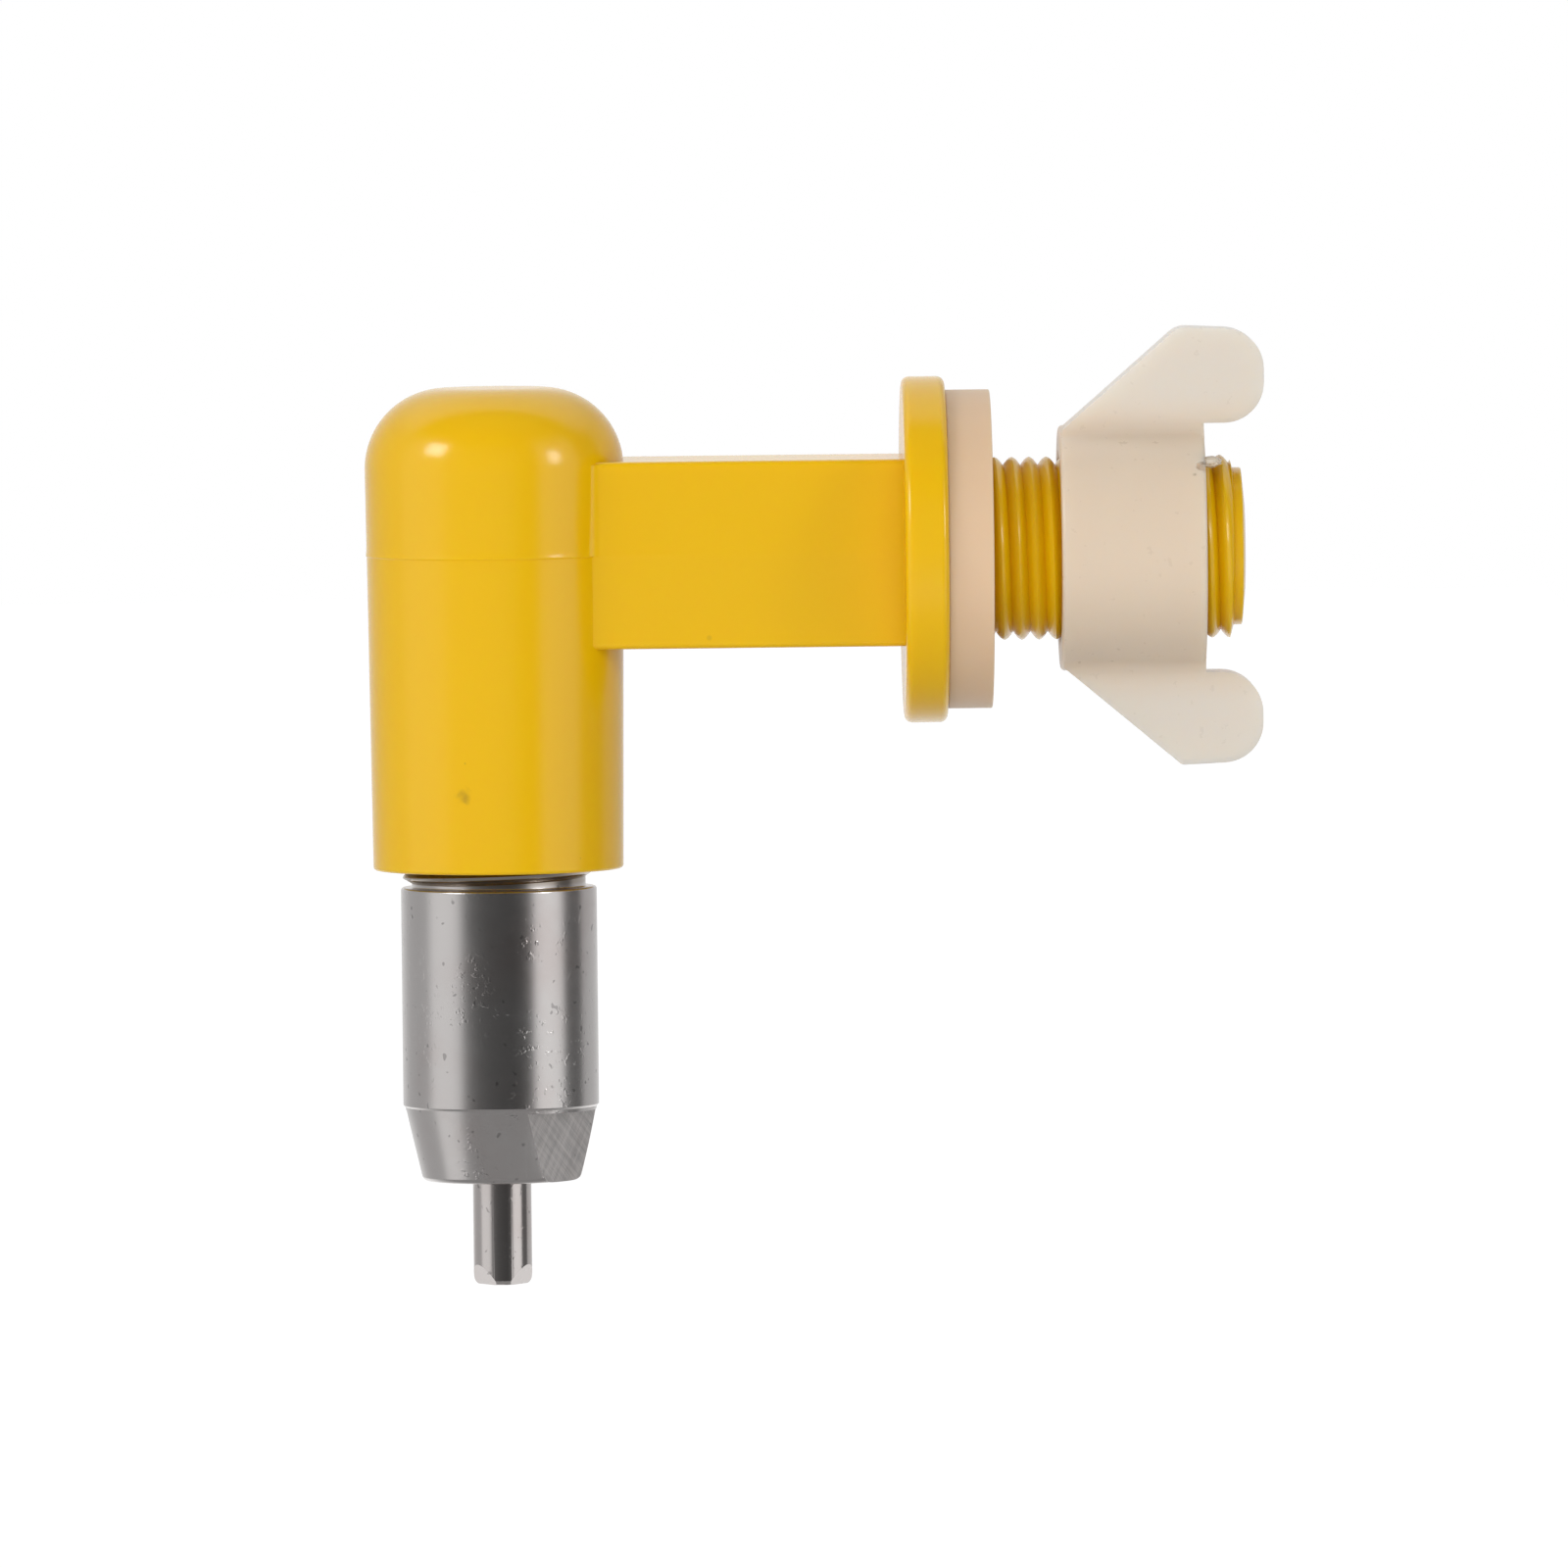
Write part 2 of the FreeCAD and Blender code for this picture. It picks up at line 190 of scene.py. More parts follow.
class Colours(PropertyGroup):
    """Colours of the drinker's materials."""

    yellow: colour("Yellow plastic", "Moulded elbow", 0.79, 0.47, 0.001)
    # The deep yellow gives the elbow's random deeper tone, and painted shade in its thread
    # grooves.
    deep_yellow_and_groove_shade: colour("Deep yellow", "Elbow in its thread grooves", 0.66, 0.30, 0.0)
    washer: colour("Washer", "Soft flange washer", 0.70, 0.49, 0.31)
    # The hub's nylon colour carries a painted warm glow of the yellow thread inside it; the wings
    # take the pale nylon.
    nylon: colour("Nylon", "Hub of the wing nut", 0.71, 0.565, 0.42)
    pale_nylon: colour("Pale nylon", "Thin wings of the nut", 0.70, 0.64, 0.56)
    steel: colour("Steel", "Turned nipple", 0.62, 0.595, 0.585)
    pin_steel: colour("Pin steel", "Polished trigger pin", 0.64, 0.60, 0.585)
    stain: colour("Stain", "Dark specks and smudges", 0.16, 0.09, 0.02)
    acetal: colour("Acetal", "Cap and seat inside", 0.80, 0.80, 0.78)
    rubber: colour("Rubber", "Seals inside", 0.02, 0.02, 0.02)


class Studio(PropertyGroup):
    """Lights, floor and camera."""

    distance: FloatProperty(
        name="Camera distance", description="From the object", default=1.34, unit="LENGTH"
    )
    azimuth: angle("Azimuth", "Turn to the left", 0.93)
    elevation: angle("Elevation", "Height of view", 2.81)
    roll: angle("Roll", "Tilt of the camera", -0.61)
    view_width: length("View width", "Width of the view at the object", 85.64)
    floor_drop: length("Floor drop", "Floor below the pin's end", 120.0)
    left_box: power("Left softbox", 1.2)
    right_box: power("Right softbox", 0.7)
    front_box: power("Front fill", 6.0)
    under_box: power("Under fill", 2.4)
    top_box: power("Top softbox", 1.0)


# ---- Modelling --------------------------------------------------------------


def deselect():
    active = bpy.context.view_layer.objects.active
    if active and active.mode != "OBJECT":
        bpy.ops.object.mode_set(mode="OBJECT")
    bpy.ops.object.select_all(action="DESELECT")


def choose(piece):
    deselect()
    piece.select_set(True)
    bpy.context.view_layer.objects.active = piece


def pick(piece, kind, test):
    """Selects, in edit mode, the vertices, edges or faces whose places or parts pass the test."""
    choose(piece)
    bpy.ops.object.mode_set(mode="EDIT")
    bpy.ops.mesh.select_mode(type=kind)
    bpy.ops.mesh.select_all(action="DESELECT")
    bpy.ops.object.mode_set(mode="OBJECT")
    mesh = piece.data
    if kind == "VERT":
        for vertex in mesh.vertices:
            vertex.select = test(vertex.co)
    elif kind == "EDGE":
        for edge in mesh.edges:
            edge.select = test(*(mesh.vertices[i].co for i in edge.vertices))
    else:
        for face in mesh.polygons:
            face.select = test(face)
    bpy.ops.object.mode_set(mode="EDIT")


def clean(piece):
    """Merges doubles and turns every face outwards."""
    choose(piece)
    bpy.ops.object.mode_set(mode="EDIT")
    bpy.ops.mesh.select_mode(type="VERT")
    bpy.ops.mesh.select_all(action="SELECT")
    bpy.ops.mesh.remove_doubles(threshold=MERGE)
    bpy.ops.mesh.normals_make_consistent(inside=False)
    bpy.ops.object.mode_set(mode="OBJECT")


def settle(piece):
    """Puts the piece's place into its mesh."""
    choose(piece)
    bpy.ops.object.transform_apply(location=True, rotation=True, scale=True)


def line(name, points):
    """A line of edges through points, drawn from one vertex."""
    deselect()
    bpy.ops.mesh.primitive_plane_add(size=MM, location=(0, 0, 0))
    piece = bpy.context.object
    piece.name = name
    bpy.ops.object.mode_set(mode="EDIT")
    bpy.ops.mesh.select_all(action="SELECT")
    bpy.ops.mesh.merge(type="CENTER")
    bpy.ops.transform.translate(value=points[0])
    for start, end in zip(points, points[1:]):
        bpy.ops.mesh.extrude_vertices_move(
            TRANSFORM_OT_translate={"value": Vector(end) - Vector(start)}
        )
    return piece


def loop(name, points):
    """A closed line of edges through points, all selected."""
    piece = line(name, points + [points[0]])
    bpy.ops.mesh.select_all(action="SELECT")
    bpy.ops.mesh.remove_doubles(threshold=MERGE)
    bpy.ops.mesh.select_all(action="SELECT")
    return piece


def rounding(corner, back, ahead, radius, steps=None):
    """Points of the arc that rounds a corner between two directions."""
    half = back.angle(ahead) / 2
    centre = corner + (back + ahead).normalized() * (radius / math.sin(half))
    run = radius / math.tan(half)
    start, end = corner + back * run - centre, corner + ahead * run - centre
    sweep = start.angle(end)
    steps = steps or max(3, math.ceil(sweep / math.radians(90) * (4 + radius / MM * 4)))
    shares = [sweep * step / steps for step in range(steps + 1)]
    return [
        centre + (start * math.sin(sweep - share) + end * math.sin(share)) / math.sin(sweep)
        for share in shares
    ]


def eased(corners):
    """Points of the closed outline through corners (u, v, radius), each rounded to its radius."""
    points = []
    count = len(corners)
    for i, (u, v, radius) in enumerate(corners):
        corner = Vector((u, v))
        if radius <= 0:
            points.append(corner)
            continue
        back = (Vector(corners[i - 1][:2]) - corner).normalized()
        ahead = (Vector(corners[(i + 1) % count][:2]) - corner).normalized()
        points += rounding(corner, back, ahead, radius)
    return points


def turned(name, corners, steps=160):
    """A closed outline with corners (radius, height, rounding) spun round the barrel's axis."""
    points = [(BARREL_X + p[0], 0, p[1]) for p in eased(corners)]
    return spun(name, points, (BARREL_X, 0, 0), Z_AXIS, steps)


def turned_on_spigot(name, corners, steps=160):
    """A closed outline with corners (place, radius, rounding) spun round the spigot's axis."""
    return spun(name, [(p[0], 0, p[1]) for p in eased(corners)], (0, 0, 0), X_AXIS, steps)


def spun(name, points, centre, axis, steps):
    piece = loop(name, points)
    bpy.ops.mesh.spin(steps=steps, angle=math.tau, center=centre, axis=axis, use_auto_merge=True)
    clean(piece)
    return piece


def plate(name, points, way):
    """A flat outline filled and drawn out along a way."""
    piece = loop(name, points)
    bpy.ops.mesh.edge_face_add()
    bpy.ops.mesh.extrude_region_move(TRANSFORM_OT_translate={"value": way})
    clean(piece)
    return piece


def block(name, low, high):
    """A box from its lowest to its highest corner."""
    deselect()
    low, high = Vector(low), Vector(high)
    bpy.ops.mesh.primitive_cube_add(size=1, location=(low + high) / 2, scale=high - low)
    piece = bpy.context.object
    piece.name = name
    settle(piece)
    return piece


def slice_across(piece, place, normal, keep="BOTH"):
    """Cuts the mesh by a plane, and keeps both sides or only the one behind its normal."""
    choose(piece)
    bpy.ops.object.mode_set(mode="EDIT")
    bpy.ops.mesh.select_all(action="SELECT")
    bpy.ops.mesh.bisect(
        plane_co=place,
        plane_no=normal,
        use_fill=keep == "BACK",
        clear_outer=keep == "BACK",
        threshold=MERGE,
    )
    bpy.ops.object.mode_set(mode="OBJECT")


def combine(piece, tool, operation):
    """Joins, cuts or trims the piece by the tool, and removes the tool."""
    apply_modifier(piece, "BOOLEAN", operation=operation, solver="EXACT", object=tool)
    if len(piece.data.vertices) == 0:
        raise RuntimeError(f"{piece.name} was lost when combined with {tool.name}")
    bpy.data.objects.remove(tool)


def apply_modifier(piece, kind, **options):
    """Adds a modifier with its options and applies it."""
    choose(piece)
    modifier = piece.modifiers.new(kind.title(), kind)
    for key, value in options.items():
        setattr(modifier, key, value)
    bpy.ops.object.modifier_apply(modifier=modifier.name)


def bevel_edges(piece, width, segments, sharper_than):
    """Rounds every edge that turns by more than an angle in degrees."""
    apply_modifier(
        piece,
        "BEVEL",
        width=width,
        segments=segments,
        limit_method="ANGLE",
        angle_limit=math.radians(sharper_than),
    )


def join(piece, other):
    """Takes another mesh into the piece as it stands."""
    choose(piece)
    other.select_set(True)
    bpy.ops.object.join()


def thread(name, centre, axis, start, turns, crest_r, pitch, depth, phase=0.0, steps=96):
    """A solid screw thread with round crests and sharp grooves, closed at both ends."""
    along = Vector(axis)
    out = Vector((0, 0, 1)) if along.x else Vector((1, 0, 0))
    points = []
    for i in range(9):
        share = i / 8
        drop = depth * abs(2 * share - 1) ** 1.7
        points.append(along * (start + pitch * share) + out * (crest_r - drop))
    piece = line(name, points)
    bpy.ops.object.mode_set(mode="OBJECT")
    apply_modifier(
        piece,
        "SCREW",
        axis="X" if along.x else "Z",
        screw_offset=pitch,
        iterations=turns,
        steps=steps,
        render_steps=steps,
        use_merge_vertices=True,
        merge_threshold=MERGE,
    )
    clean(piece)
    bpy.ops.object.mode_set(mode="EDIT")
    bpy.ops.mesh.select_all(action="SELECT")
    bpy.ops.mesh.region_to_loop()
    bpy.ops.object.mode_set(mode="OBJECT")
    mesh = piece.data
    rim = [v.index for v in mesh.vertices if v.select]
    middle = start + pitch * turns / 2
    for low_end in (True, False):
        bpy.ops.object.mode_set(mode="EDIT")
        bpy.ops.mesh.select_mode(type="VERT")
        bpy.ops.mesh.select_all(action="DESELECT")
        bpy.ops.object.mode_set(mode="OBJECT")
        for index in rim:
            place = along.dot(mesh.vertices[index].co)
            mesh.vertices[index].select = (place < middle) == low_end
        bpy.ops.object.mode_set(mode="EDIT")
        bpy.ops.mesh.extrude_region_move()
        bpy.ops.mesh.merge(type="CENTER")
        bpy.ops.object.mode_set(mode="OBJECT")
    clean(piece)
    turn = Matrix.Rotation(phase, 4, along)
    piece.matrix_world = Matrix.Translation(Vector(centre)) @ turn
    settle(piece)
    return piece


def smooth(piece, degrees=30):
    choose(piece)
    bpy.ops.object.shade_smooth_by_angle(angle=math.radians(degrees))
    apply_modifier(piece, "WEIGHTED_NORMAL", keep_sharp=True)


def finish_piece(piece, body, node, slot, *materials):
    """Gives a piece its materials, lets it ride on its body and stand for its CAD node."""
    if len(piece.data.materials) == 0:
        for material in materials:
            piece.data.materials.append(material)
    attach(piece, body)
    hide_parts(node)


# ---- Elbow housing ----------------------------------------------------------


def barrel_blank(sizes):
    """The domed barrel, whose upper mould half stands a little proud of the lower one."""
    rim_z = ELBOW_LOW.z
    slope = (sizes.barrel_top_r - sizes.barrel_rim_r) / (sizes.barrel_rise - rim_z)
    at_parting = sizes.barrel_rim_r - slope * rim_z
    step = sizes.parting_step
    flare = [(0.75, 0), (0.5, 0.002), (0.35, 0.005), (0.24, 0.011), (0.16, 0.019), (0.1, 0.028)]
    flare += [(0.06, 0.035), (0.03, 0.04), (0.01, 0.041), (-0.01, 0.036), (-0.035, 0.02)]
    corners = [
        (0, sizes.barrel_rise, 0),
        (sizes.barrel_top_r, sizes.barrel_rise, sizes.dome_r),
        *((at_parting + slope * z * MM + out * MM, z * MM, 0) for z, out in flare),
        (at_parting - step, -0.08 * MM, 0),
        (sizes.barrel_rim_r, rim_z, sizes.rim_r),
        (0, rim_z, 0),
    ]
    return turned("elbow", corners)


def arm(sizes):
    """The square arm, drafted both ways from the parting line."""
    half_width, half_height = sizes.arm_width / 2, sizes.arm_height / 2
    step = sizes.parting_step
    piece = block(
        "arm",
        (BARREL_X, step - half_width, -half_height),
        (-sizes.flange_thick / 2, half_width - step, half_height),
    )
    for level in (0, 0.05 * MM):
        slice_across(piece, (0, 0, level), Z_AXIS)
    pick(piece, "VERT", lambda co: co.z > 0.04 * MM)
    wider = half_width / (half_width - step)
    bpy.ops.transform.resize(value=(1, wider, 1), center_override=(0, 0, 0))
    pick(piece, "VERT", lambda co: abs(co.z) > half_height - MERGE)
    narrower = 1 - half_height * math.tan(sizes.arm_draft) / half_width
    bpy.ops.transform.resize(value=(1, narrower, 1), center_override=(0, 0, 0))
    pick(
        piece,
        "EDGE",
        lambda a, b: abs(a.x - b.x) > MM and min(abs(a.z), abs(b.z)) > half_height - MERGE,
    )
    bpy.ops.mesh.bevel(offset=sizes.arm_edge_r, segments=5, affect="EDGES")
    clean(piece)
    return piece


def arm_fillet(sizes, side):
    """A rounded corner between the upper half of the barrel and one face of the arm."""
    reach = sizes.arm_width / 2 - 0.004 * MM
    radius = sizes.barrel_top_r - 0.1 * MM
    corner = Vector((BARREL_X + math.sqrt(radius**2 - reach**2), reach))
    tangent = Vector((-corner.y, corner.x - BARREL_X)).normalized()
    points = rounding(corner, tangent, Vector((1, 0)), sizes.fillet_r, steps=6)
    points.append(corner + Vector((-0.1, -0.4)) * MM)
    rise = sizes.arm_height / 2 - 0.15 * MM
    piece = plate("fillet", [(p.x, p.y * side, 0) for p in points], (0, 0, rise))
    pick(piece, "VERT", lambda co: co.z > rise - MERGE)
    bpy.ops.transform.translate(value=(0, -side * rise * math.tan(sizes.arm_draft), 0))
    bpy.ops.object.mode_set(mode="OBJECT")
    return piece


def flange(sizes):
    flange_r = ELBOW_HIGH.z
    edge = sizes.flange_edge_r
    return turned_on_spigot(
        "flange",
        [
            (-sizes.flange_thick, 0, 0),
            (-sizes.flange_thick, flange_r, edge),
            (0, flange_r, edge),
            (0, 0, 0),
        ],
    )


def spigot(sizes):
    """The threaded spigot, trimmed to its lead-in and its plain pilot."""
    end = ELBOW_HIGH.x
    piece = thread(
        "spigot",
        (0, 0, 0),
        X_AXIS,
        -1.5 * MM,
        20,
        sizes.thread_r,
        sizes.thread_pitch,
        sizes.thread_depth,
        phase=math.radians(19),
    )
    blank = turned_on_spigot(
        "spigot blank",
        [
            (-0.5 * MM, 0, 0),
            (-0.5 * MM, sizes.thread_r + 0.1 * MM, 0),
            (sizes.thread_length - 0.3 * MM, sizes.thread_r + 0.1 * MM, 0),
            (sizes.thread_length - 0.08 * MM, sizes.pilot_r, 0),
            (end - sizes.end_dome, sizes.pilot_r, 0.1 * MM),
            (end - 0.06 * MM, sizes.waterway_r, 0),
            (end - 0.02 * MM, 0, 0),
        ],
    )
    combine(piece, blank, "INTERSECT")
    return piece


def hollow(sizes):
    """The chamber and the socket inside the barrel."""
    socket_top = GASKET_HIGH.z
    rim_z = ELBOW_LOW.z
    past = rim_z - 1 * MM
    chamfer = 0.4 * MM
    return turned(
        "hollow",
        [
            (0, sizes.chamber_top, 0),
            (sizes.chamber_r, sizes.chamber_top, 0.8 * MM),
            (sizes.chamber_r, socket_top, 0),
            (sizes.socket_r, socket_top, 0),
            (sizes.socket_r, rim_z + chamfer, 0),
            (sizes.socket_r + chamfer, rim_z, 0),
            (sizes.socket_r + chamfer, past, 0),
            (0, past, 0),
        ],
        steps=96,
    )


def waterway(sizes):
    past = ELBOW_HIGH.x + 1 * MM
    return turned_on_spigot(
        "waterway",
        [
            (BARREL_X, 0, 0),
            (BARREL_X, sizes.waterway_r, 0),
            (past, sizes.waterway_r, 0),
            (past, 0, 0),
        ],
        steps=64,
    )


class DRINKER_OT_elbow(Operator):
    """Moulded elbow: domed barrel, square arm, flange and threaded spigot"""

    bl_idname = "drinker.elbow"
    bl_label = "Elbow housing"

    def execute(self, context):
        sizes = context.scene.elbow_sizes
        elbow = barrel_blank(sizes)
        combine(elbow, arm(sizes), "UNION")
        for side in (-1, 1):
            combine(elbow, arm_fillet(sizes, side), "UNION")
        combine(elbow, flange(sizes), "UNION")
        combine(elbow, spigot(sizes), "UNION")
        combine(elbow, hollow(sizes), "DIFFERENCE")
        combine(elbow, waterway(sizes), "DIFFERENCE")
        clean(elbow)
        smooth(elbow, 32)
        finish_piece(elbow, "drinker", "elbow_housing", "yellow_plastic", yellow_plastic())
        return {"FINISHED"}


# ---- Washer -----------------------------------------------------------------


class DRINKER_OT_washer(Operator):
    """Soft washer on the flange"""

    bl_idname = "drinker.washer"
    bl_label = "Flange washer"

    def execute(self, context):
        bore = context.scene.elbow_sizes.thread_r + 0.05 * MM
        edge = 0.07 * MM
        piece = turned_on_spigot(
            "washer",
            [
                (WASHER_LOW.x, bore, edge),
                (WASHER_LOW.x, WASHER_HIGH.z, edge),
                (WASHER_HIGH.x, WASHER_HIGH.z, edge),
                (WASHER_HIGH.x, bore, edge),
            ],
        )
        smooth(piece, 40)
        finish_piece(piece, "drinker", "flange_washer", "soft_washer", washer_plastic())
        return {"FINISHED"}


# ---- Wing nut ---------------------------------------------------------------


def wing(sizes, name, reach, tip, crest_r):
    """The upper wing: its root section drawn along the hub, trimmed to its side outline."""
    half = sizes.wing_thick / 2
    blend_r = sizes.root_blend
    hub_r = sizes.hub_r - 0.03 * MM
    centre = Vector((-half - blend_r, 0))
    centre.y = math.sqrt((hub_r + blend_r) ** 2 - centre.x**2)
    last = math.asin(-centre.x / (hub_r + blend_r)) - math.pi / 2
    section = [(centre.x + blend_r * math.cos(last), 2 * MM)]
    for step in range(9):
        turn = last * (1 - step / 8)
        section.append((centre.x + blend_r * math.cos(turn), centre.y + blend_r * math.sin(turn)))
    section.append((-half, reach + MM))
    mirrored = [(-y, z) for y, z in reversed(section)]
    piece = plate(name, [(0, y, z) for y, z in section + mirrored], (tip + MM, 0, 0))
    side = eased(
        [
            (sizes.wing_start, 2 * MM, 0),
            (sizes.wing_start, sizes.hub_r - sizes.hub_edge_r, 0),
            (sizes.wing_crest, reach, crest_r),
            (tip + 0.02 * MM, reach - 0.2 * MM, sizes.wing_tip_r),
            (tip, sizes.wing_under, sizes.wing_tip_r),
            (sizes.hub_length, sizes.wing_under, 0),
            (sizes.hub_length, 2 * MM, 0),
        ]
    )
    trim = plate("trim", [(x, -8 * MM, z) for x, z in side], (0, 16 * MM, 0))
    combine(piece, trim, "INTERSECT")
    clean(piece)
    bevel_edges(piece, sizes.wing_edge_r, 4, sharper_than=50)
    return piece


def lump(name, place, size, rough, seed):
    """A small rough lump, drawn from a subdivided ball; place and size are in millimetres."""
    deselect()
    bpy.ops.mesh.primitive_ico_sphere_add(subdivisions=3, radius=1, location=(0, 0, 0))
    piece = bpy.context.object
    piece.name = name
    choose(piece)
    bpy.ops.object.mode_set(mode="EDIT")
    bpy.ops.mesh.select_all(action="SELECT")
    bpy.ops.transform.vertex_random(offset=rough, seed=seed)
    bpy.ops.transform.resize(value=Vector(size) * MM, center_override=(0, 0, 0))
    bpy.ops.transform.translate(value=Vector(place) * MM)
    bpy.ops.object.mode_set(mode="OBJECT")
    return piece


def torn_edge(hub):
    """The chip beside the burr, in the hub's outer edge."""
    return lump("chip", (hub / MM - 0.05, -4.85, 4.55), (0.5, 0.4, 0.42), rough=0.12, seed=3)


def burr(hub):
    """A torn flake of flash at the nut's mouth, lying over the first thread."""
    return lump("burr", (hub / MM + 0.3, -3.7, 4.75), (0.6, 0.9, 0.3), rough=0.3, seed=5)


class DRINKER_OT_wing_nut(Operator):
    """Milky nylon wing nut: round hub and two swept wings"""

    bl_idname = "drinker.wing_nut"
    bl_label = "Wing nut"

    def execute(self, context):
        sizes = context.scene.nut_sizes
        hub = sizes.hub_length
        nut = turned_on_spigot(
            "nut",
            [
                (0, 0, 0),
                (0, sizes.hub_r, sizes.hub_edge_r),
                (hub, sizes.hub_r, sizes.hub_edge_r),
                (hub, 0, 0),
            ],
        )
        tip = NUT_HIGH.x - NUT_LOW.x
        upper = wing(sizes, "upper wing", NUT_HIGH.z, tip, sizes.upper_crest_r)
        less = 0.2 * MM
        lower = wing(sizes, "lower wing", NUT_HIGH.z - less, tip - less, sizes.lower_crest_r)
        lower.rotation_euler.x = math.pi
        settle(lower)
        combine(nut, upper, "UNION")
        combine(nut, lower, "UNION")
        mouth = 0.35 * MM
        bore = turned_on_spigot(
            "bore",
            [
                (-MM, 0, 0),
                (-MM, sizes.bore_r + mouth, 0),
                (0, sizes.bore_r + mouth, 0),
                (mouth, sizes.bore_r, 0),
                (hub - mouth, sizes.bore_r, 0),
                (hub, sizes.bore_r + mouth, 0),
                (hub + MM, sizes.bore_r + mouth, 0),
                (hub + MM, 0, 0),
            ],
            steps=96,
        )
        combine(nut, bore, "DIFFERENCE")
        combine(nut, torn_edge(hub), "DIFFERENCE")
        join(nut, burr(hub))
        nut.location.x = NUT_LOW.x
        settle(nut)
        clean(nut)
        smooth(nut, 40)
        finish_piece(nut, "nut", "wing_nut", "natural_nylon", nylon())
        return {"FINISHED"}


# ---- Steel nipple -----------------------------------------------------------


class DRINKER_OT_nipple(Operator):
    """Turned stainless nipple with its threaded neck and milled flats"""

    bl_idname = "drinker.nipple"
    bl_label = "Nipple barrel"

    def execute(self, context):
        sizes = context.scene.nipple_sizes
        root = sizes.neck_r - sizes.neck_depth
        shoulder = sizes.shoulder_z
        body_end = shoulder - sizes.body_length
        nose_end = NIPPLE_LOW.z
        neck_top = NIPPLE_HIGH.z
        nipple = turned(
            "nipple",
            [
                (sizes.insert_bore_r, neck_top, 0),
                (root, neck_top, 0),
                (root, shoulder, 0.1 * MM),
                (sizes.body_r, shoulder, 0.16 * MM),
                (sizes.body_r, body_end, 0.05 * MM),
                (sizes.nose_top_r, body_end - 0.12 * MM, 0),
                (sizes.nose_end_r, nose_end, 0.35 * MM),
                (sizes.mouth_r, nose_end, 0.12 * MM),
                (sizes.ledge_r, sizes.ledge_z, 0),
                (sizes.pin_bore_r, sizes.ledge_z, 0),
                (sizes.pin_bore_r, SEAT_LOW.z, 0),
                (sizes.insert_bore_r, SEAT_LOW.z, 0),
            ],
            steps=192,
        )
        neck = thread(
            "neck thread",
            (BARREL_X, 0, 0),
            Z_AXIS,
            shoulder - 0.2 * MM,
            10,
            sizes.neck_r,
            sizes.neck_pitch,
            sizes.neck_depth + 0.05 * MM,
            phase=math.radians(100),
        )
        sleeve = turned(
            "sleeve",
            [
                (root - 0.2 * MM, neck_top - 0.05 * MM, 0),
                (sizes.neck_r - 0.4 * MM, neck_top - 0.05 * MM, 0),
                (sizes.neck_r + 0.1 * MM, neck_top - 0.5 * MM, 0),
                (sizes.neck_r + 0.1 * MM, shoulder + 0.55 * MM, 0),
                (root - 0.2 * MM, shoulder + 0.1 * MM, 0),
            ],
            steps=96,
        )
        combine(neck, sleeve, "INTERSECT")
        combine(nipple, neck, "UNION")
        flat_way = Matrix.Rotation(sizes.flat_turn, 4, "Z")
        for side in (0, math.pi):
            cutter = block(
                "flat",
                (sizes.flat_distance, -2 * sizes.body_r, nose_end - MM),
                (2 * sizes.body_r, 2 * sizes.body_r, body_end - 0.3 * MM),
            )
            cutter.matrix_world = (
                Matrix.Translation((BARREL_X, 0, 0)) @ Matrix.Rotation(side, 4, "Z") @ flat_way
            )
            settle(cutter)
            combine(nipple, cutter, "DIFFERENCE")
        clean(nipple)
        nipple.data.materials.append(turned_steel())
        nipple.data.materials.append(milled_steel())
        facing = flat_way @ Vector((1, 0, 0))
        for face in nipple.data.polygons:
            level = nose_end < face.center.z < body_end - 0.25 * MM
            if level and abs(face.normal.dot(facing)) > 0.999:
                face.material_index = 1
        smooth(nipple, 25)
        finish_piece(nipple, "drinker", "nipple_barrel", "turned_steel")
        return {"FINISHED"}


class DRINKER_OT_trigger_pin(Operator):
    """Loose trigger pin with a flat head and a ground tip"""

    bl_idname = "drinker.trigger_pin"
    bl_label = "Trigger pin"

    def execute(self, context):
        sizes = context.scene.nipple_sizes
        top, bottom = PIN_HIGH.z, PIN_LOW.z
        pin = turned(
            "pin",
            [
                (0, top, 0),
                (sizes.pin_head_r, top, 0.15 * MM),
                (sizes.pin_head_r, sizes.ledge_z, 0),
                (sizes.pin_r, sizes.ledge_z, 0),
                (sizes.pin_r, bottom, 0.3 * MM),
                (0, bottom, 0),
            ],
            steps=128,
        )
        slope = math.atan2(sizes.pin_tip_inset, sizes.pin_tip_height)
        for i in range(sizes.pin_facets):
            way = sizes.pin_tip_turn + math.tau / sizes.pin_facets * i
            out = Vector((math.cos(way), math.sin(way), 0))
            edge = Vector((BARREL_X, 0, bottom + sizes.pin_tip_height)) + out * sizes.pin_r
            normal = out * math.cos(slope) - Vector((0, 0, math.sin(slope)))
            slice_across(pin, edge, normal, keep="BACK")
        clean(pin)
        bevel_edges(pin, 0.1 * MM, 3, sharper_than=12)
        smooth(pin, 20)
        finish_piece(pin, "pin", "trigger_pin", "polished_steel", pin_steel())
        return {"FINISHED"}


class DRINKER_OT_valve(Operator):
    """Finishes of the valve, the cap and the seals inside"""

    bl_idname = "drinker.valve"
    bl_label = "Valve and seals"

    def execute(self, context):
        finishes = {
            "valve_stem": turned_steel(),
            "valve_seat": acetal(),
            "barrel_cap": acetal(),
            "seat_seal": seal_rubber(),
            "barrel_gasket": seal_rubber(),
        }
        for node, material in finishes.items():
            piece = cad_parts[node]
            for slot in piece.material_slots:
                slot.material = material
        return {"FINISHED"}


# ---- Materials --------------------------------------------------------------


def add(tree, kind, place=(0, 0), **values):
    """A node with its options and unlinked inputs set; input names end in an underscore."""
    made = tree.nodes.new(kind)
    made.location = place
    for key, value in values.items():
        if key.endswith("_"):
            made.inputs[key[:-1].replace("_", " ")].default_value = value
        else:
            setattr(made, key, value)
    return made


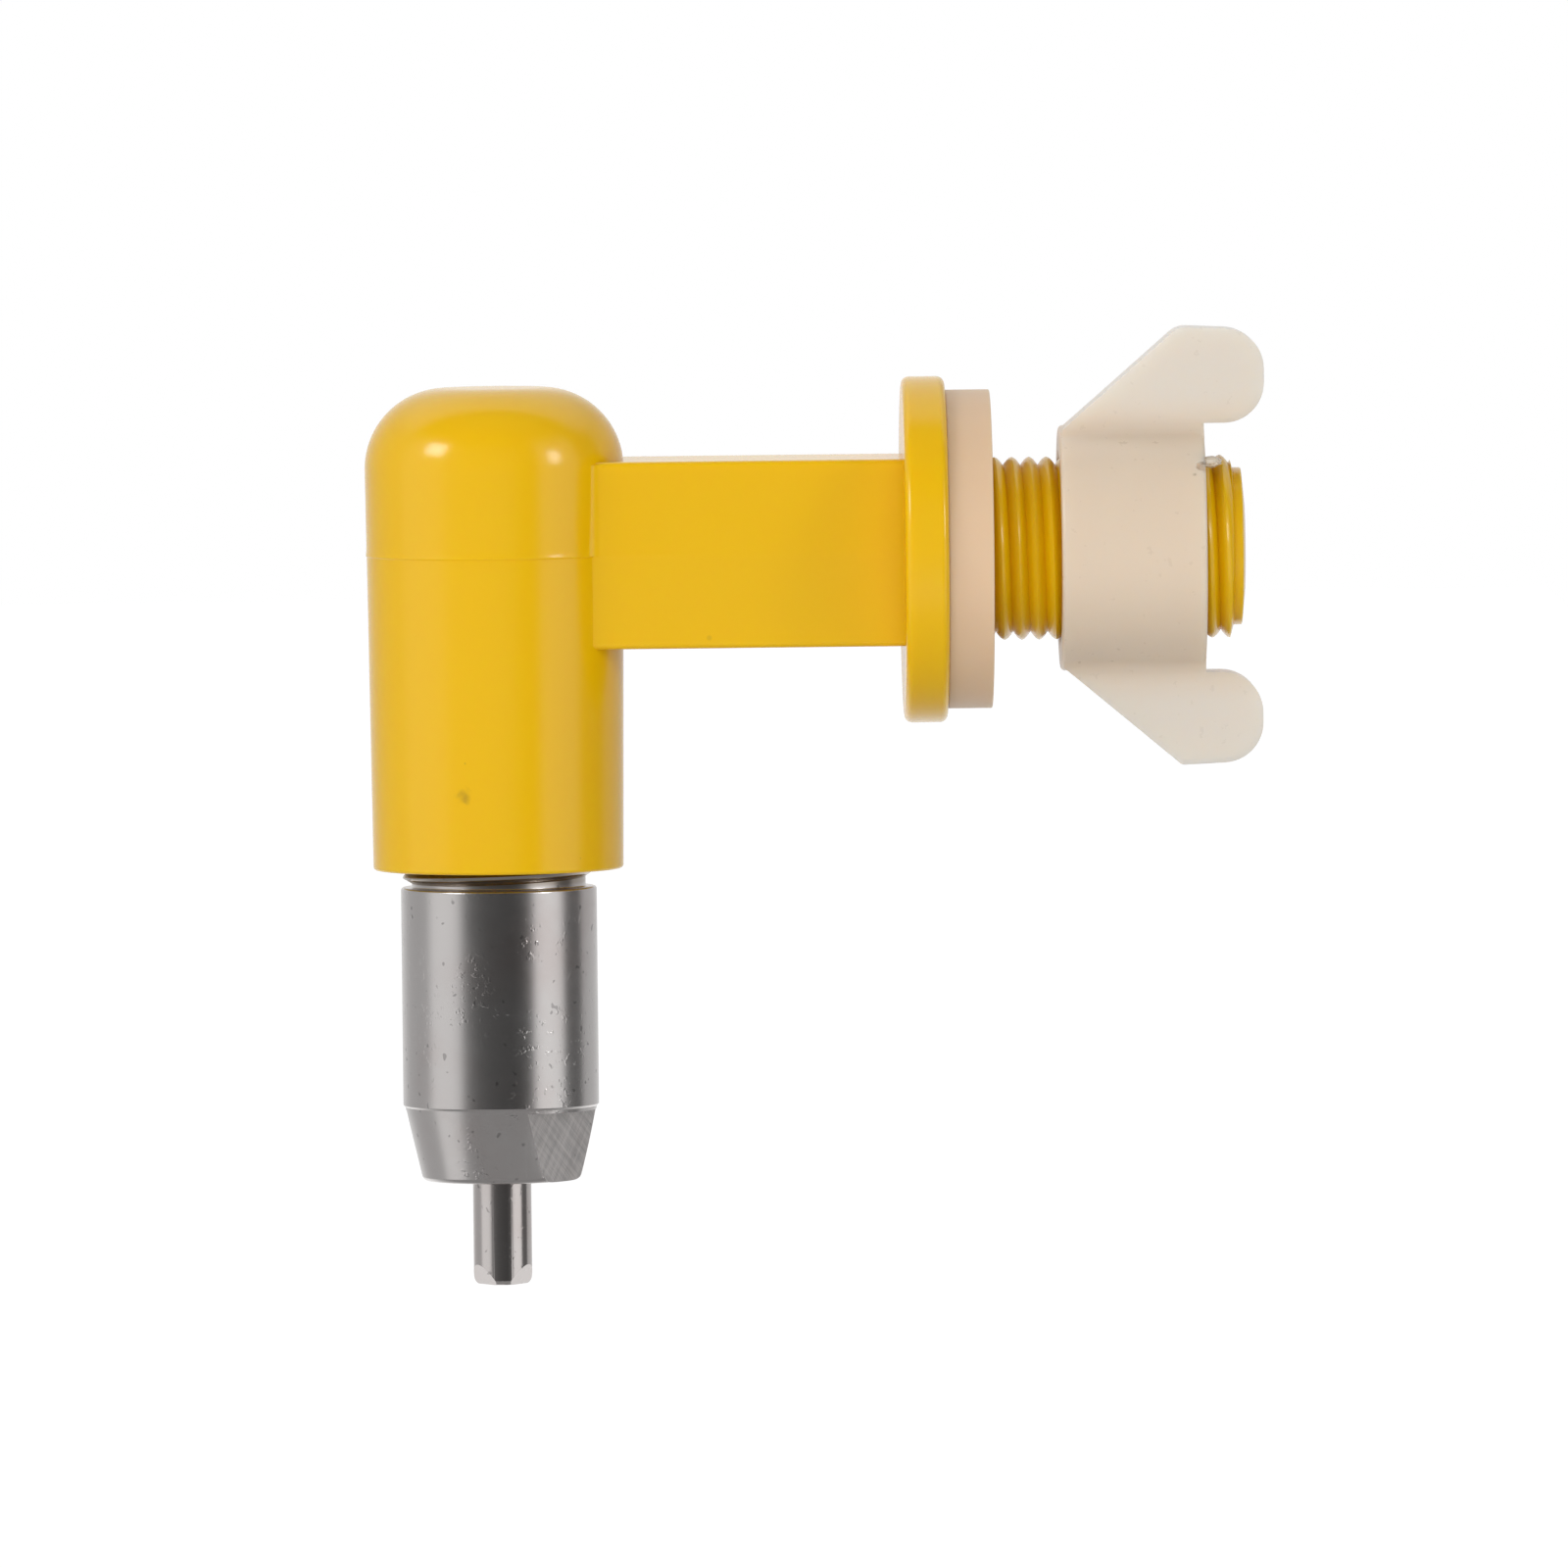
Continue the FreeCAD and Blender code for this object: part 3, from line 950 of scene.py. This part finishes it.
def new_group(name, inputs, outputs):
    tree = bpy.data.node_groups.new(name, "ShaderNodeTree")
    for socket, default in inputs.items():
        made = tree.interface.new_socket(
            name=socket, in_out="INPUT", socket_type="NodeSocketFloat"
        )
        made.default_value = default
    for socket in outputs:
        tree.interface.new_socket(name=socket, in_out="OUTPUT", socket_type="NodeSocketFloat")
    return tree, tree.nodes.new("NodeGroupInput"), tree.nodes.new("NodeGroupOutput")


def ramp(tree, source, low, high):
    """Maps a value from low..high to 0..1."""
    made = add(tree, "ShaderNodeMapRange", interpolation_type="SMOOTHSTEP")
    made.inputs["From Min"].default_value = low
    made.inputs["From Max"].default_value = high
    tree.links.new(source, made.inputs["Value"])
    return made.outputs["Result"]


def moulded_skin():
    """Group: slow tone, fine mottle and small dark specks of a moulded surface."""
    name = "moulded_skin"
    if name in bpy.data.node_groups:
        return bpy.data.node_groups[name]
    tree, given, out = new_group(
        name, {"Grain": 900.0, "Specks": 260.0}, ("Tone", "Speck", "Height")
    )
    place = add(tree, "ShaderNodeTexCoord")
    slow = add(tree, "ShaderNodeTexNoise", Scale_=110.0, Detail_=3.0)
    fine = add(tree, "ShaderNodeTexNoise", Detail_=4.0, Roughness_=0.6)
    spots = add(tree, "ShaderNodeTexVoronoi", Randomness_=1.0)
    for texture in (slow, fine, spots):
        tree.links.new(place.outputs["Object"], texture.inputs["Vector"])
    tree.links.new(given.outputs["Grain"], fine.inputs["Scale"])
    tree.links.new(given.outputs["Specks"], spots.inputs["Scale"])
    parted = add(tree, "ShaderNodeSeparateColor")
    tree.links.new(spots.outputs["Color"], parted.inputs["Color"])
    rare = product(
        tree,
        ramp(tree, spots.outputs["Distance"], 0.05, 0.02),
        ramp(tree, parted.outputs["Red"], 0.86, 0.9),
    )
    tree.links.new(slow.outputs["Fac"], out.inputs["Tone"])
    tree.links.new(rare, out.inputs["Speck"])
    tree.links.new(fine.outputs["Fac"], out.inputs["Height"])
    return tree


def streaks(tree, place, across, along, fine, coarse):
    """Long thin marks: noise that is fine across and coarse along."""
    joined = add(tree, "ShaderNodeCombineXYZ")
    for axis, way, rate in (("X", across, fine), ("Y", along, coarse)):
        share = add(tree, "ShaderNodeVectorMath", operation="DOT_PRODUCT")
        share.inputs[1].default_value = tuple(c * rate for c in way)
        tree.links.new(place, share.inputs[0])
        tree.links.new(share.outputs["Value"], joined.inputs[axis])
    marks = add(tree, "ShaderNodeTexNoise", Scale_=1.0, Detail_=3.0, Roughness_=0.65)
    tree.links.new(joined.outputs["Vector"], marks.inputs["Vector"])
    return marks.outputs["Fac"]


def worked_out(tree, operation, first, second):
    """A Math node on two sockets, or on a socket and a number."""
    made = add(tree, "ShaderNodeMath", operation=operation)
    tree.links.new(first, made.inputs[0])
    if isinstance(second, float):
        made.inputs[1].default_value = second
    else:
        tree.links.new(second, made.inputs[1])
    return made.outputs["Value"]


def product(tree, first, second):
    return worked_out(tree, "MULTIPLY", first, second)


def sum_of(tree, first, second):
    return worked_out(tree, "ADD", first, second)


def larger(tree, first, second):
    return worked_out(tree, "MAXIMUM", first, second)


def noise(tree, place, scale, detail):
    made = add(tree, "ShaderNodeTexNoise", Scale_=scale, Detail_=detail, Roughness_=0.6)
    tree.links.new(place, made.inputs["Vector"])
    return made.outputs["Fac"]


def machined_skin():
    """Group: turning lines, dents, stains and cloudy wear of a machined surface."""
    name = "machined_skin"
    if name in bpy.data.node_groups:
        return bpy.data.node_groups[name]
    tree, given, out = new_group(name, {}, ("Lines", "Dents", "Stain", "Cloud", "Pit"))
    place = object_place(tree)
    lines = streaks(tree, place, (0, 0, 1), (1, 0.6, 0), 9000.0, 40.0)
    bands = streaks(tree, place, (0, 0, 1), (1, 0.6, 0), 1400.0, 60.0)
    grain = scaled(tree, noise(tree, place, 4200.0, 3.0), 0.0, 1.1)
    turning = sum_of(tree, lines, scaled(tree, bands, 0.0, 0.8))
    tree.links.new(sum_of(tree, turning, grain), out.inputs["Lines"])
    patchy = ramp(tree, noise(tree, place, 260.0, 2.0), 0.42, 0.62)
    dents = ramp(tree, noise(tree, place, 2600.0, 2.0), 0.56, 0.7)
    tree.links.new(product(tree, dents, patchy), out.inputs["Dents"])
    tree.links.new(ramp(tree, noise(tree, place, 150.0, 4.0), 0.45, 0.75), out.inputs["Stain"])
    tree.links.new(noise(tree, place, 700.0, 3.0), out.inputs["Cloud"])
    tree.links.new(ramp(tree, noise(tree, place, 1900.0, 1.0), 0.7, 0.76), out.inputs["Pit"])
    return tree


def spot(tree, place, centre, radius):
    """A soft round mark at one place, ragged at its edge; the place is in millimetres."""
    gap = add(tree, "ShaderNodeVectorMath", operation="DISTANCE")
    gap.inputs[1].default_value = tuple(c * MM for c in centre)
    tree.links.new(place, gap.inputs[0])
    ragged = sum_of(
        tree,
        gap.outputs["Value"],
        scaled(tree, noise(tree, place, 1600.0, 3.0), -0.9 * radius * MM, 0.9 * radius * MM),
    )
    return ramp(tree, ragged, radius * MM, 0.0)


def material(name):
    """A new material, with its nodes and its Principled shader."""
    made = bpy.data.materials.new(name)
    made.use_nodes = True
    tree = made.node_tree
    return made, tree, tree.nodes["Principled BSDF"]


def place_group(tree, group, **values):
    made = add(tree, "ShaderNodeGroup", node_tree=group)
    for key, value in values.items():
        made.inputs[key].default_value = value
    return made


def blend(tree, factor, first, second):
    """Mixes two colours, or sockets, by a factor socket."""
    made = add(tree, "ShaderNodeMix", data_type="RGBA")
    tree.links.new(factor, made.inputs["Factor"])
    for key, value in (("A", first), ("B", second)):
        socket = [s for s in made.inputs if s.name == key and s.type == "RGBA"][0]
        if hasattr(value, "is_linked"):
            tree.links.new(value, socket)
        else:
            socket.default_value = (*value, 1)
    return [s for s in made.outputs if s.type == "RGBA"][0]


def relief(tree, shader, height, strength, distance):
    made = add(tree, "ShaderNodeBump", Strength_=strength, Distance_=distance)
    tree.links.new(height, made.inputs["Height"])
    tree.links.new(made.outputs["Normal"], shader.inputs["Normal"])


def scaled(tree, source, low, high):
    """A value of 0..1 brought to low..high."""
    made = add(tree, "ShaderNodeMapRange")
    made.inputs["To Min"].default_value = low
    made.inputs["To Max"].default_value = high
    tree.links.new(source, made.inputs["Value"])
    return made.outputs["Result"]


def object_place(tree):
    return add(tree, "ShaderNodeTexCoord").outputs["Object"]


def place_parts(tree, place, axis):
    made = add(tree, "ShaderNodeSeparateXYZ")
    tree.links.new(place, made.inputs["Vector"])
    return made.outputs[axis]


def soften(shader, weight, radius, depth):
    """Lets light into the plastic: how much, how far each colour goes, and how deep in mm."""
    shader.inputs["Subsurface Weight"].default_value = weight
    shader.inputs["Subsurface Radius"].default_value = radius
    shader.inputs["Subsurface Scale"].default_value = depth * MM


def skin_roughness(tree, shader, value, low, high):
    tree.links.new(scaled(tree, value, low, high), shader.inputs["Roughness"])


def distance_from_spigot(tree):
    """How far a point lies from the spigot's axis, in metres."""
    flat = add(tree, "ShaderNodeVectorMath", operation="MULTIPLY")
    flat.inputs[1].default_value = (0, 1, 1)
    size = add(tree, "ShaderNodeVectorMath", operation="LENGTH")
    tree.links.new(object_place(tree), flat.inputs[0])
    tree.links.new(flat.outputs["Vector"], size.inputs[0])
    return size.outputs["Value"]


def yellow_plastic():
    colours = bpy.context.scene.drinker_colours
    made, tree, shader = material("yellow_plastic")
    skin = place_group(tree, moulded_skin(), Grain=1400.0, Specks=240.0)
    place = object_place(tree)
    tone = scaled(tree, skin.outputs["Tone"], 0.0, 0.1)
    shade = blend(tree, tone, colours.yellow, colours.deep_yellow_and_groove_shade)
    # Painted shade: the thread's grooves past the washer are deepened towards the deep yellow,
    # more where they are deeper.
    grooves = product(
        tree,
        ramp(tree, distance_from_spigot(tree), 5.02 * MM, 4.55 * MM),
        ramp(tree, place_parts(tree, place, "X"), 2.3 * MM, 2.5 * MM),
    )
    shade = blend(tree, scaled(tree, grooves, 0.0, 0.08), shade, colours.deep_yellow_and_groove_shade)
    smudge = scaled(tree, spot(tree, place, (-26.5, -6.7, -12.9), 0.55), 0.0, 0.4)
    for centre, radius in (((-26.4, -6.75, -11.1), 0.12), ((-20.1, -5.3, -16.4), 0.14)):
        smudge = sum_of(tree, smudge, spot(tree, place, centre, radius))
    marks = sum_of(tree, smudge, scaled(tree, skin.outputs["Speck"], 0.0, 0.5))
    spotted = blend(tree, marks, shade, colours.stain)
    tree.links.new(spotted, shader.inputs["Base Color"])
    skin_roughness(tree, shader, skin.outputs["Height"], 0.15, 0.21)
    shader.inputs["IOR"].default_value = 1.5
    soften(shader, 0.3, (1.0, 0.6, 0.1), 1.4)
    relief(tree, shader, skin.outputs["Height"], 0.1, 0.01 * MM)
    return made


def washer_plastic():
    colours = bpy.context.scene.drinker_colours
    made, tree, shader = material("washer_plastic")
    skin = place_group(tree, moulded_skin(), Grain=2200.0, Specks=420.0)
    tone = scaled(tree, skin.outputs["Tone"], 0.0, 0.3)
    shade = blend(tree, tone, colours.washer, colours.nylon)
    spotted = blend(tree, scaled(tree, skin.outputs["Speck"], 0.0, 0.5), shade, colours.stain)
    tree.links.new(spotted, shader.inputs["Base Color"])
    skin_roughness(tree, shader, skin.outputs["Height"], 0.36, 0.5)
    soften(shader, 0.35, (1.0, 0.7, 0.4), 1.5)
    relief(tree, shader, skin.outputs["Height"], 0.25, 0.02 * MM)
    return made


def nylon():
    colours = bpy.context.scene.drinker_colours
    made, tree, shader = material("nylon")
    skin = place_group(tree, moulded_skin(), Grain=1700.0, Specks=300.0)
    place = object_place(tree)
    # Painted glow: near the spigot the hub is tinted warmer, as the yellow thread shines through
    # it, fading to the pale wings.
    thin = ramp(tree, distance_from_spigot(tree), 5.6 * MM, 9.0 * MM)
    shade = blend(tree, thin, colours.nylon, colours.pale_nylon)
    speck = scaled(tree, spot(tree, place, (8.2, -1.9, 6.75), 0.12), 0.0, 0.7)
    chip = scaled(tree, spot(tree, place, (13.5, -5.3, 4.1), 0.16), 0.0, 0.5)
    spotted = blend(tree, sum_of(tree, speck, chip), shade, colours.stain)
    tree.links.new(spotted, shader.inputs["Base Color"])
    skin_roughness(tree, shader, skin.outputs["Height"], 0.24, 0.34)
    soften(shader, 0.6, (1.0, 0.8, 0.6), 2.5)
    relief(tree, shader, skin.outputs["Height"], 0.15, 0.015 * MM)
    return made


def steel(name, colour, low, high, lines_depth, dents_depth):
    """Bright steel with turning lines, dents, small pits, brown stains and cloudy wear."""
    made, tree, shader = material(name)
    skin = place_group(tree, machined_skin())
    colour = tuple(colour)
    stained = blend(
        tree,
        scaled(tree, skin.outputs["Stain"], 0.0, 0.45),
        colour,
        tuple(c * k for c, k in zip(colour, (0.86, 0.76, 0.74))),
    )
    pitted = blend(
        tree, scaled(tree, skin.outputs["Pit"], 0.0, 0.6), stained, tuple(c * 0.4 for c in colour)
    )
    shader.inputs["Metallic"].default_value = 1.0
    skin_roughness(tree, shader, skin.outputs["Cloud"], low, high)
    height = sum_of(
        tree,
        scaled(tree, skin.outputs["Lines"], 0.0, lines_depth),
        scaled(tree, skin.outputs["Dents"], 0.0, dents_depth),
    )
    relief(tree, shader, height, 1.0, 0.01 * MM)
    return made, tree, shader, pitted


def turned_steel():
    """Turned steel, with painted shade darkening the thread above its shoulder, under the elbow,
    towards brown.
    """
    colours = bpy.context.scene.drinker_colours
    made, tree, shader, shade = steel("turned_steel", colours.steel, 0.17, 0.27, 0.3, 0.9)
    place = object_place(tree)
    shoulder = bpy.context.scene.nipple_sizes.shoulder_z
    height = place_parts(tree, place, "Z")
    # Painted shade: the neck's thread above the shoulder, under the elbow's rim, is darkened
    # towards brown.
    painted_neck_shade = ramp(tree, height, shoulder + 0.02 * MM, shoulder + 0.35 * MM)
    neck_shaded = blend(tree, scaled(tree, painted_neck_shade, 0.0, 0.45), shade, (0.24, 0.17, 0.08))
    tree.links.new(neck_shaded, shader.inputs["Base Color"])
    return made


def milled_steel():
    """Roughly milled steel with crossed cutter marks."""
    colours = bpy.context.scene.drinker_colours
    made, tree, shader, shade = steel("milled_steel", colours.steel, 0.34, 0.48, 0.2, 0.6)
    place = object_place(tree)
    marks = None
    level_way = Vector((0.559, 0.829, 0))
    for lean in (38, -52):
        turn = math.radians(lean)
        across = (*(level_way * math.sin(turn)).xy, math.cos(turn))
        along = (*(level_way * math.cos(turn)).xy, -math.sin(turn))
        cuts = streaks(tree, place, across, along, 3600.0, 160.0)
        marks = cuts if marks is None else sum_of(tree, marks, cuts)
    scraped = scaled(tree, ramp(tree, marks, 0.75, 1.25), 0.0, 0.6)
    bright = blend(tree, scraped, shade, (0.95, 0.9, 0.88))
    tree.links.new(bright, shader.inputs["Base Color"])
    relief(tree, shader, marks, 1.0, 0.035 * MM)
    return made


def pin_steel():
    colours = bpy.context.scene.drinker_colours
    made, tree, shader, shade = steel("pin_steel", colours.pin_steel, 0.08, 0.17, 0.08, 0.5)
    tree.links.new(shade, shader.inputs["Base Color"])
    return made


def plain_finish(name, colour, rough):
    made, tree, shader = material(name)
    skin = place_group(tree, moulded_skin(), Grain=2000.0, Specks=400.0)
    dark = tuple(c * 0.85 for c in colour)
    tree.links.new(
        blend(tree, skin.outputs["Tone"], tuple(colour), dark), shader.inputs["Base Color"]
    )
    skin_roughness(tree, shader, skin.outputs["Height"], rough - 0.08, rough + 0.08)
    relief(tree, shader, skin.outputs["Height"], 0.2, 0.02 * MM)
    return made


def acetal():
    return plain_finish("acetal", bpy.context.scene.drinker_colours.acetal, 0.38)


def seal_rubber():
    return plain_finish("seal_rubber", bpy.context.scene.drinker_colours.rubber, 0.6)


# ---- Stage ------------------------------------------------------------------


def direction(azimuth, elevation):
    """A unit vector from the object; azimuth is to the right of the camera's side, in degrees."""
    turn, rise = math.radians(azimuth), math.radians(elevation)
    return Vector(
        (math.sin(turn) * math.cos(rise), -math.cos(turn) * math.cos(rise), math.sin(rise))
    )


def softbox(name, centre, azimuth, elevation, distance, wide, high, watts, mirrored=True):
    """A soft rectangular lamp that faces the object; steel mirrors it or not."""
    deselect()
    way = direction(azimuth, elevation)
    bpy.ops.object.light_add(type="AREA", location=centre + way * distance)
    lamp = bpy.context.object
    lamp.name = name
    lamp.data.shape = "RECTANGLE"
    lamp.data.size, lamp.data.size_y = wide, high
    lamp.data.energy = watts
    lamp.visible_glossy = mirrored
    lamp.rotation_euler = way.to_track_quat("Z", "Y").to_euler()


# Bearing round the object in degrees, from the camera's side, and the room's brightness there
ROOM_LEVELS = (
    (-180, 1.0), (-150, 0.7), (-122, 0.5), (-98, 0.5), (-84, 0.85), (-60, 0.85), (-42, 0.3),
    (-28, 0.13), (0, 0.08), (24, 0.08), (38, 0.25), (48, 0.95), (70, 0.95), (82, 0.4), (90, 0.15),
    (106, 0.15), (116, 0.5), (150, 0.65), (180, 1.0),
)


FLOOR_SIZE = (0.44, 4, 1)
FLOOR_BACK = 1.8
AIM = Vector((-8.96, 0, -12.74)) * MM
SENSOR_WIDTH = 36


def room_world():
    """A pale room: white behind the object, with a dark camera side between two bright sides."""
    world = bpy.data.worlds.new("room")
    bpy.context.scene.world = world
    world.use_nodes = True
    tree = world.node_tree
    background = tree.nodes["Background"]
    way = add(tree, "ShaderNodeTexCoord")
    parts = add(tree, "ShaderNodeSeparateXYZ")
    tree.links.new(way.outputs["Generated"], parts.inputs["Vector"])
    ahead = product(tree, parts.outputs["Y"], -1.0)
    bearing = worked_out(tree, "ARCTAN2", parts.outputs["X"], ahead)
    around = add(tree, "ShaderNodeMapRange")
    around.inputs["From Min"].default_value = -math.pi
    around.inputs["From Max"].default_value = math.pi
    tree.links.new(bearing, around.inputs["Value"])
    walls = add(tree, "ShaderNodeFloatCurve")
    curve = walls.mapping.curves[0]
    top = 1.25
    points = [((degrees + 180) / 360, level / top) for degrees, level in ROOM_LEVELS]
    curve.points[0].location, curve.points[1].location = points[0], points[-1]
    for point in points[1:-1]:
        curve.points.new(*point)
    walls.mapping.update()
    tree.links.new(around.outputs["Result"], walls.inputs["Value"])
    below = scaled(tree, ramp(tree, parts.outputs["Z"], -0.2, -0.45), 0.0, 0.34)
    low = larger(tree, product(tree, walls.outputs["Value"], top), below)
    ceiling = add(tree, "ShaderNodeMapRange", interpolation_type="SMOOTHSTEP")
    ceiling.inputs["From Min"].default_value = 0.0
    ceiling.inputs["From Max"].default_value = 0.25
    ceiling.inputs["To Min"].default_value = 0.15
    tree.links.new(parts.outputs["Y"], ceiling.inputs["Value"])
    overhead = ramp(tree, parts.outputs["Z"], 0.45, 0.75)
    reflected = add(tree, "ShaderNodeMix", data_type="FLOAT")
    tree.links.new(overhead, reflected.inputs["Factor"])
    tree.links.new(low, reflected.inputs["A"])
    tree.links.new(ceiling.outputs["Result"], reflected.inputs["B"])
    path = add(tree, "ShaderNodeLightPath")
    seen = larger(tree, path.outputs["Is Camera Ray"], path.outputs["Is Transmission Ray"])
    shown = add(tree, "ShaderNodeMix", data_type="FLOAT")
    tree.links.new(seen, shown.inputs["Factor"])
    tree.links.new(reflected.outputs["Result"], shown.inputs["A"])
    shown.inputs["B"].default_value = 1.0
    tree.links.new(shown.outputs["Result"], background.inputs["Strength"])
    background.inputs["Color"].default_value = (1, 1, 1, 1)


def floor_material():
    """Pale floor that is seen as white and keeps the object's shadow."""
    made, tree, shader = material("floor")
    shader.inputs["Base Color"].default_value = (0.36, 0.36, 0.36, 1)
    shader.inputs["Roughness"].default_value = 0.9
    shader.inputs["Specular IOR Level"].default_value = 0.0
    shader.inputs["Emission Color"].default_value = (1, 1, 1, 1)
    path = add(tree, "ShaderNodeLightPath")
    behind = ramp(tree, place_parts(tree, object_place(tree), "Y"), -0.02, 0.25)
    glossy = product(tree, path.outputs["Is Glossy Ray"], behind)
    seen = larger(tree, path.outputs["Is Camera Ray"], glossy)
    tree.links.new(product(tree, seen, 0.85), shader.inputs["Emission Strength"])
    return made


class DRINKER_OT_stage(Operator):
    """Pale floor, soft lamps, room light and camera"""

    bl_idname = "drinker.stage"
    bl_label = "Stage"

    def execute(self, context):
        scene = context.scene
        studio = scene.drinker_studio
        scene.view_settings.view_transform = "Standard"
        centre = (CAD_LOW + CAD_HIGH) / 2
        deselect()
        floor_z = CAD_LOW.z - studio.floor_drop
        bpy.ops.mesh.primitive_plane_add(size=1, location=(0, 0, 0))
        floor = context.object
        floor.name = "floor"
        pick(floor, "VERT", lambda co: True)
        bpy.ops.transform.resize(value=FLOOR_SIZE, center_override=(0, 0, 0))
        bpy.ops.transform.translate(value=(centre.x, FLOOR_BACK, floor_z))
        bpy.ops.object.mode_set(mode="OBJECT")
        floor.data.materials.append(floor_material())
        softbox("left softbox", centre, -59, 28, 0.8, 0.24, 0.2, studio.left_box)
        softbox("right softbox", centre, 56, 18, 0.8, 0.14, 0.22, studio.right_box)
        softbox("front fill", centre, -12, 4, 0.9, 1.2, 1.2, studio.front_box, mirrored=False)
        softbox("under fill", centre, -10, -30, 0.9, 0.8, 0.8, studio.under_box, mirrored=False)
        softbox("top softbox", centre, 0, 86, 0.9, 0.9, 0.9, studio.top_box, mirrored=False)
        room_world()

        back = direction(-math.degrees(studio.azimuth), math.degrees(studio.elevation))
        bpy.ops.object.camera_add(location=AIM + back * studio.distance)
        camera = context.object
        upright = back.to_track_quat("Z", "Y")
        tilt = Matrix.Rotation(studio.roll, 4, "Z").to_quaternion()
        camera.rotation_euler = (upright @ tilt).to_euler()
        camera.data.sensor_width = SENSOR_WIDTH
        camera.data.lens = SENSOR_WIDTH * studio.distance / studio.view_width
        camera.data.clip_start = 0.05
        camera.data.clip_end = 50
        scene.camera = camera
        return {"FINISHED"}


# ---- Panel and registration -------------------------------------------------


OPERATORS = (
    DRINKER_OT_elbow,
    DRINKER_OT_washer,
    DRINKER_OT_wing_nut,
    DRINKER_OT_nipple,
    DRINKER_OT_trigger_pin,
    DRINKER_OT_valve,
    DRINKER_OT_stage,
)

SETTINGS = {
    "elbow_sizes": ElbowSizes,
    "nut_sizes": NutSizes,
    "nipple_sizes": NippleSizes,
    "drinker_colours": Colours,
    "drinker_studio": Studio,
}


class DRINKER_PT_panel(Panel):
    """Sizes, colours and pieces of the drinker"""

    bl_idname = "DRINKER_PT_panel"
    bl_label = "Nipple drinker"
    bl_space_type = "VIEW_3D"
    bl_region_type = "UI"
    bl_category = "Drinker"

    def draw(self, context):
        for operator in OPERATORS:
            self.layout.operator(operator.bl_idname)
        for group in SETTINGS:
            settings = getattr(context.scene, group)
            box = self.layout.box()
            for name in settings.bl_rna.properties.keys():
                if name not in ("rna_type", "name"):
                    box.prop(settings, name)


CLASSES = (*SETTINGS.values(), *OPERATORS, DRINKER_PT_panel)


def register():
    for made in CLASSES:
        bpy.utils.register_class(made)
    for name, group in SETTINGS.items():
        setattr(bpy.types.Scene, name, PointerProperty(type=group))


def unregister():
    for name in SETTINGS:
        delattr(bpy.types.Scene, name)
    for made in reversed(CLASSES):
        bpy.utils.unregister_class(made)


def main():
    register()
    for operator in OPERATORS:
        group, name = operator.bl_idname.split(".")
        getattr(getattr(bpy.ops, group), name)()


if __name__ == "__main__":
    main()
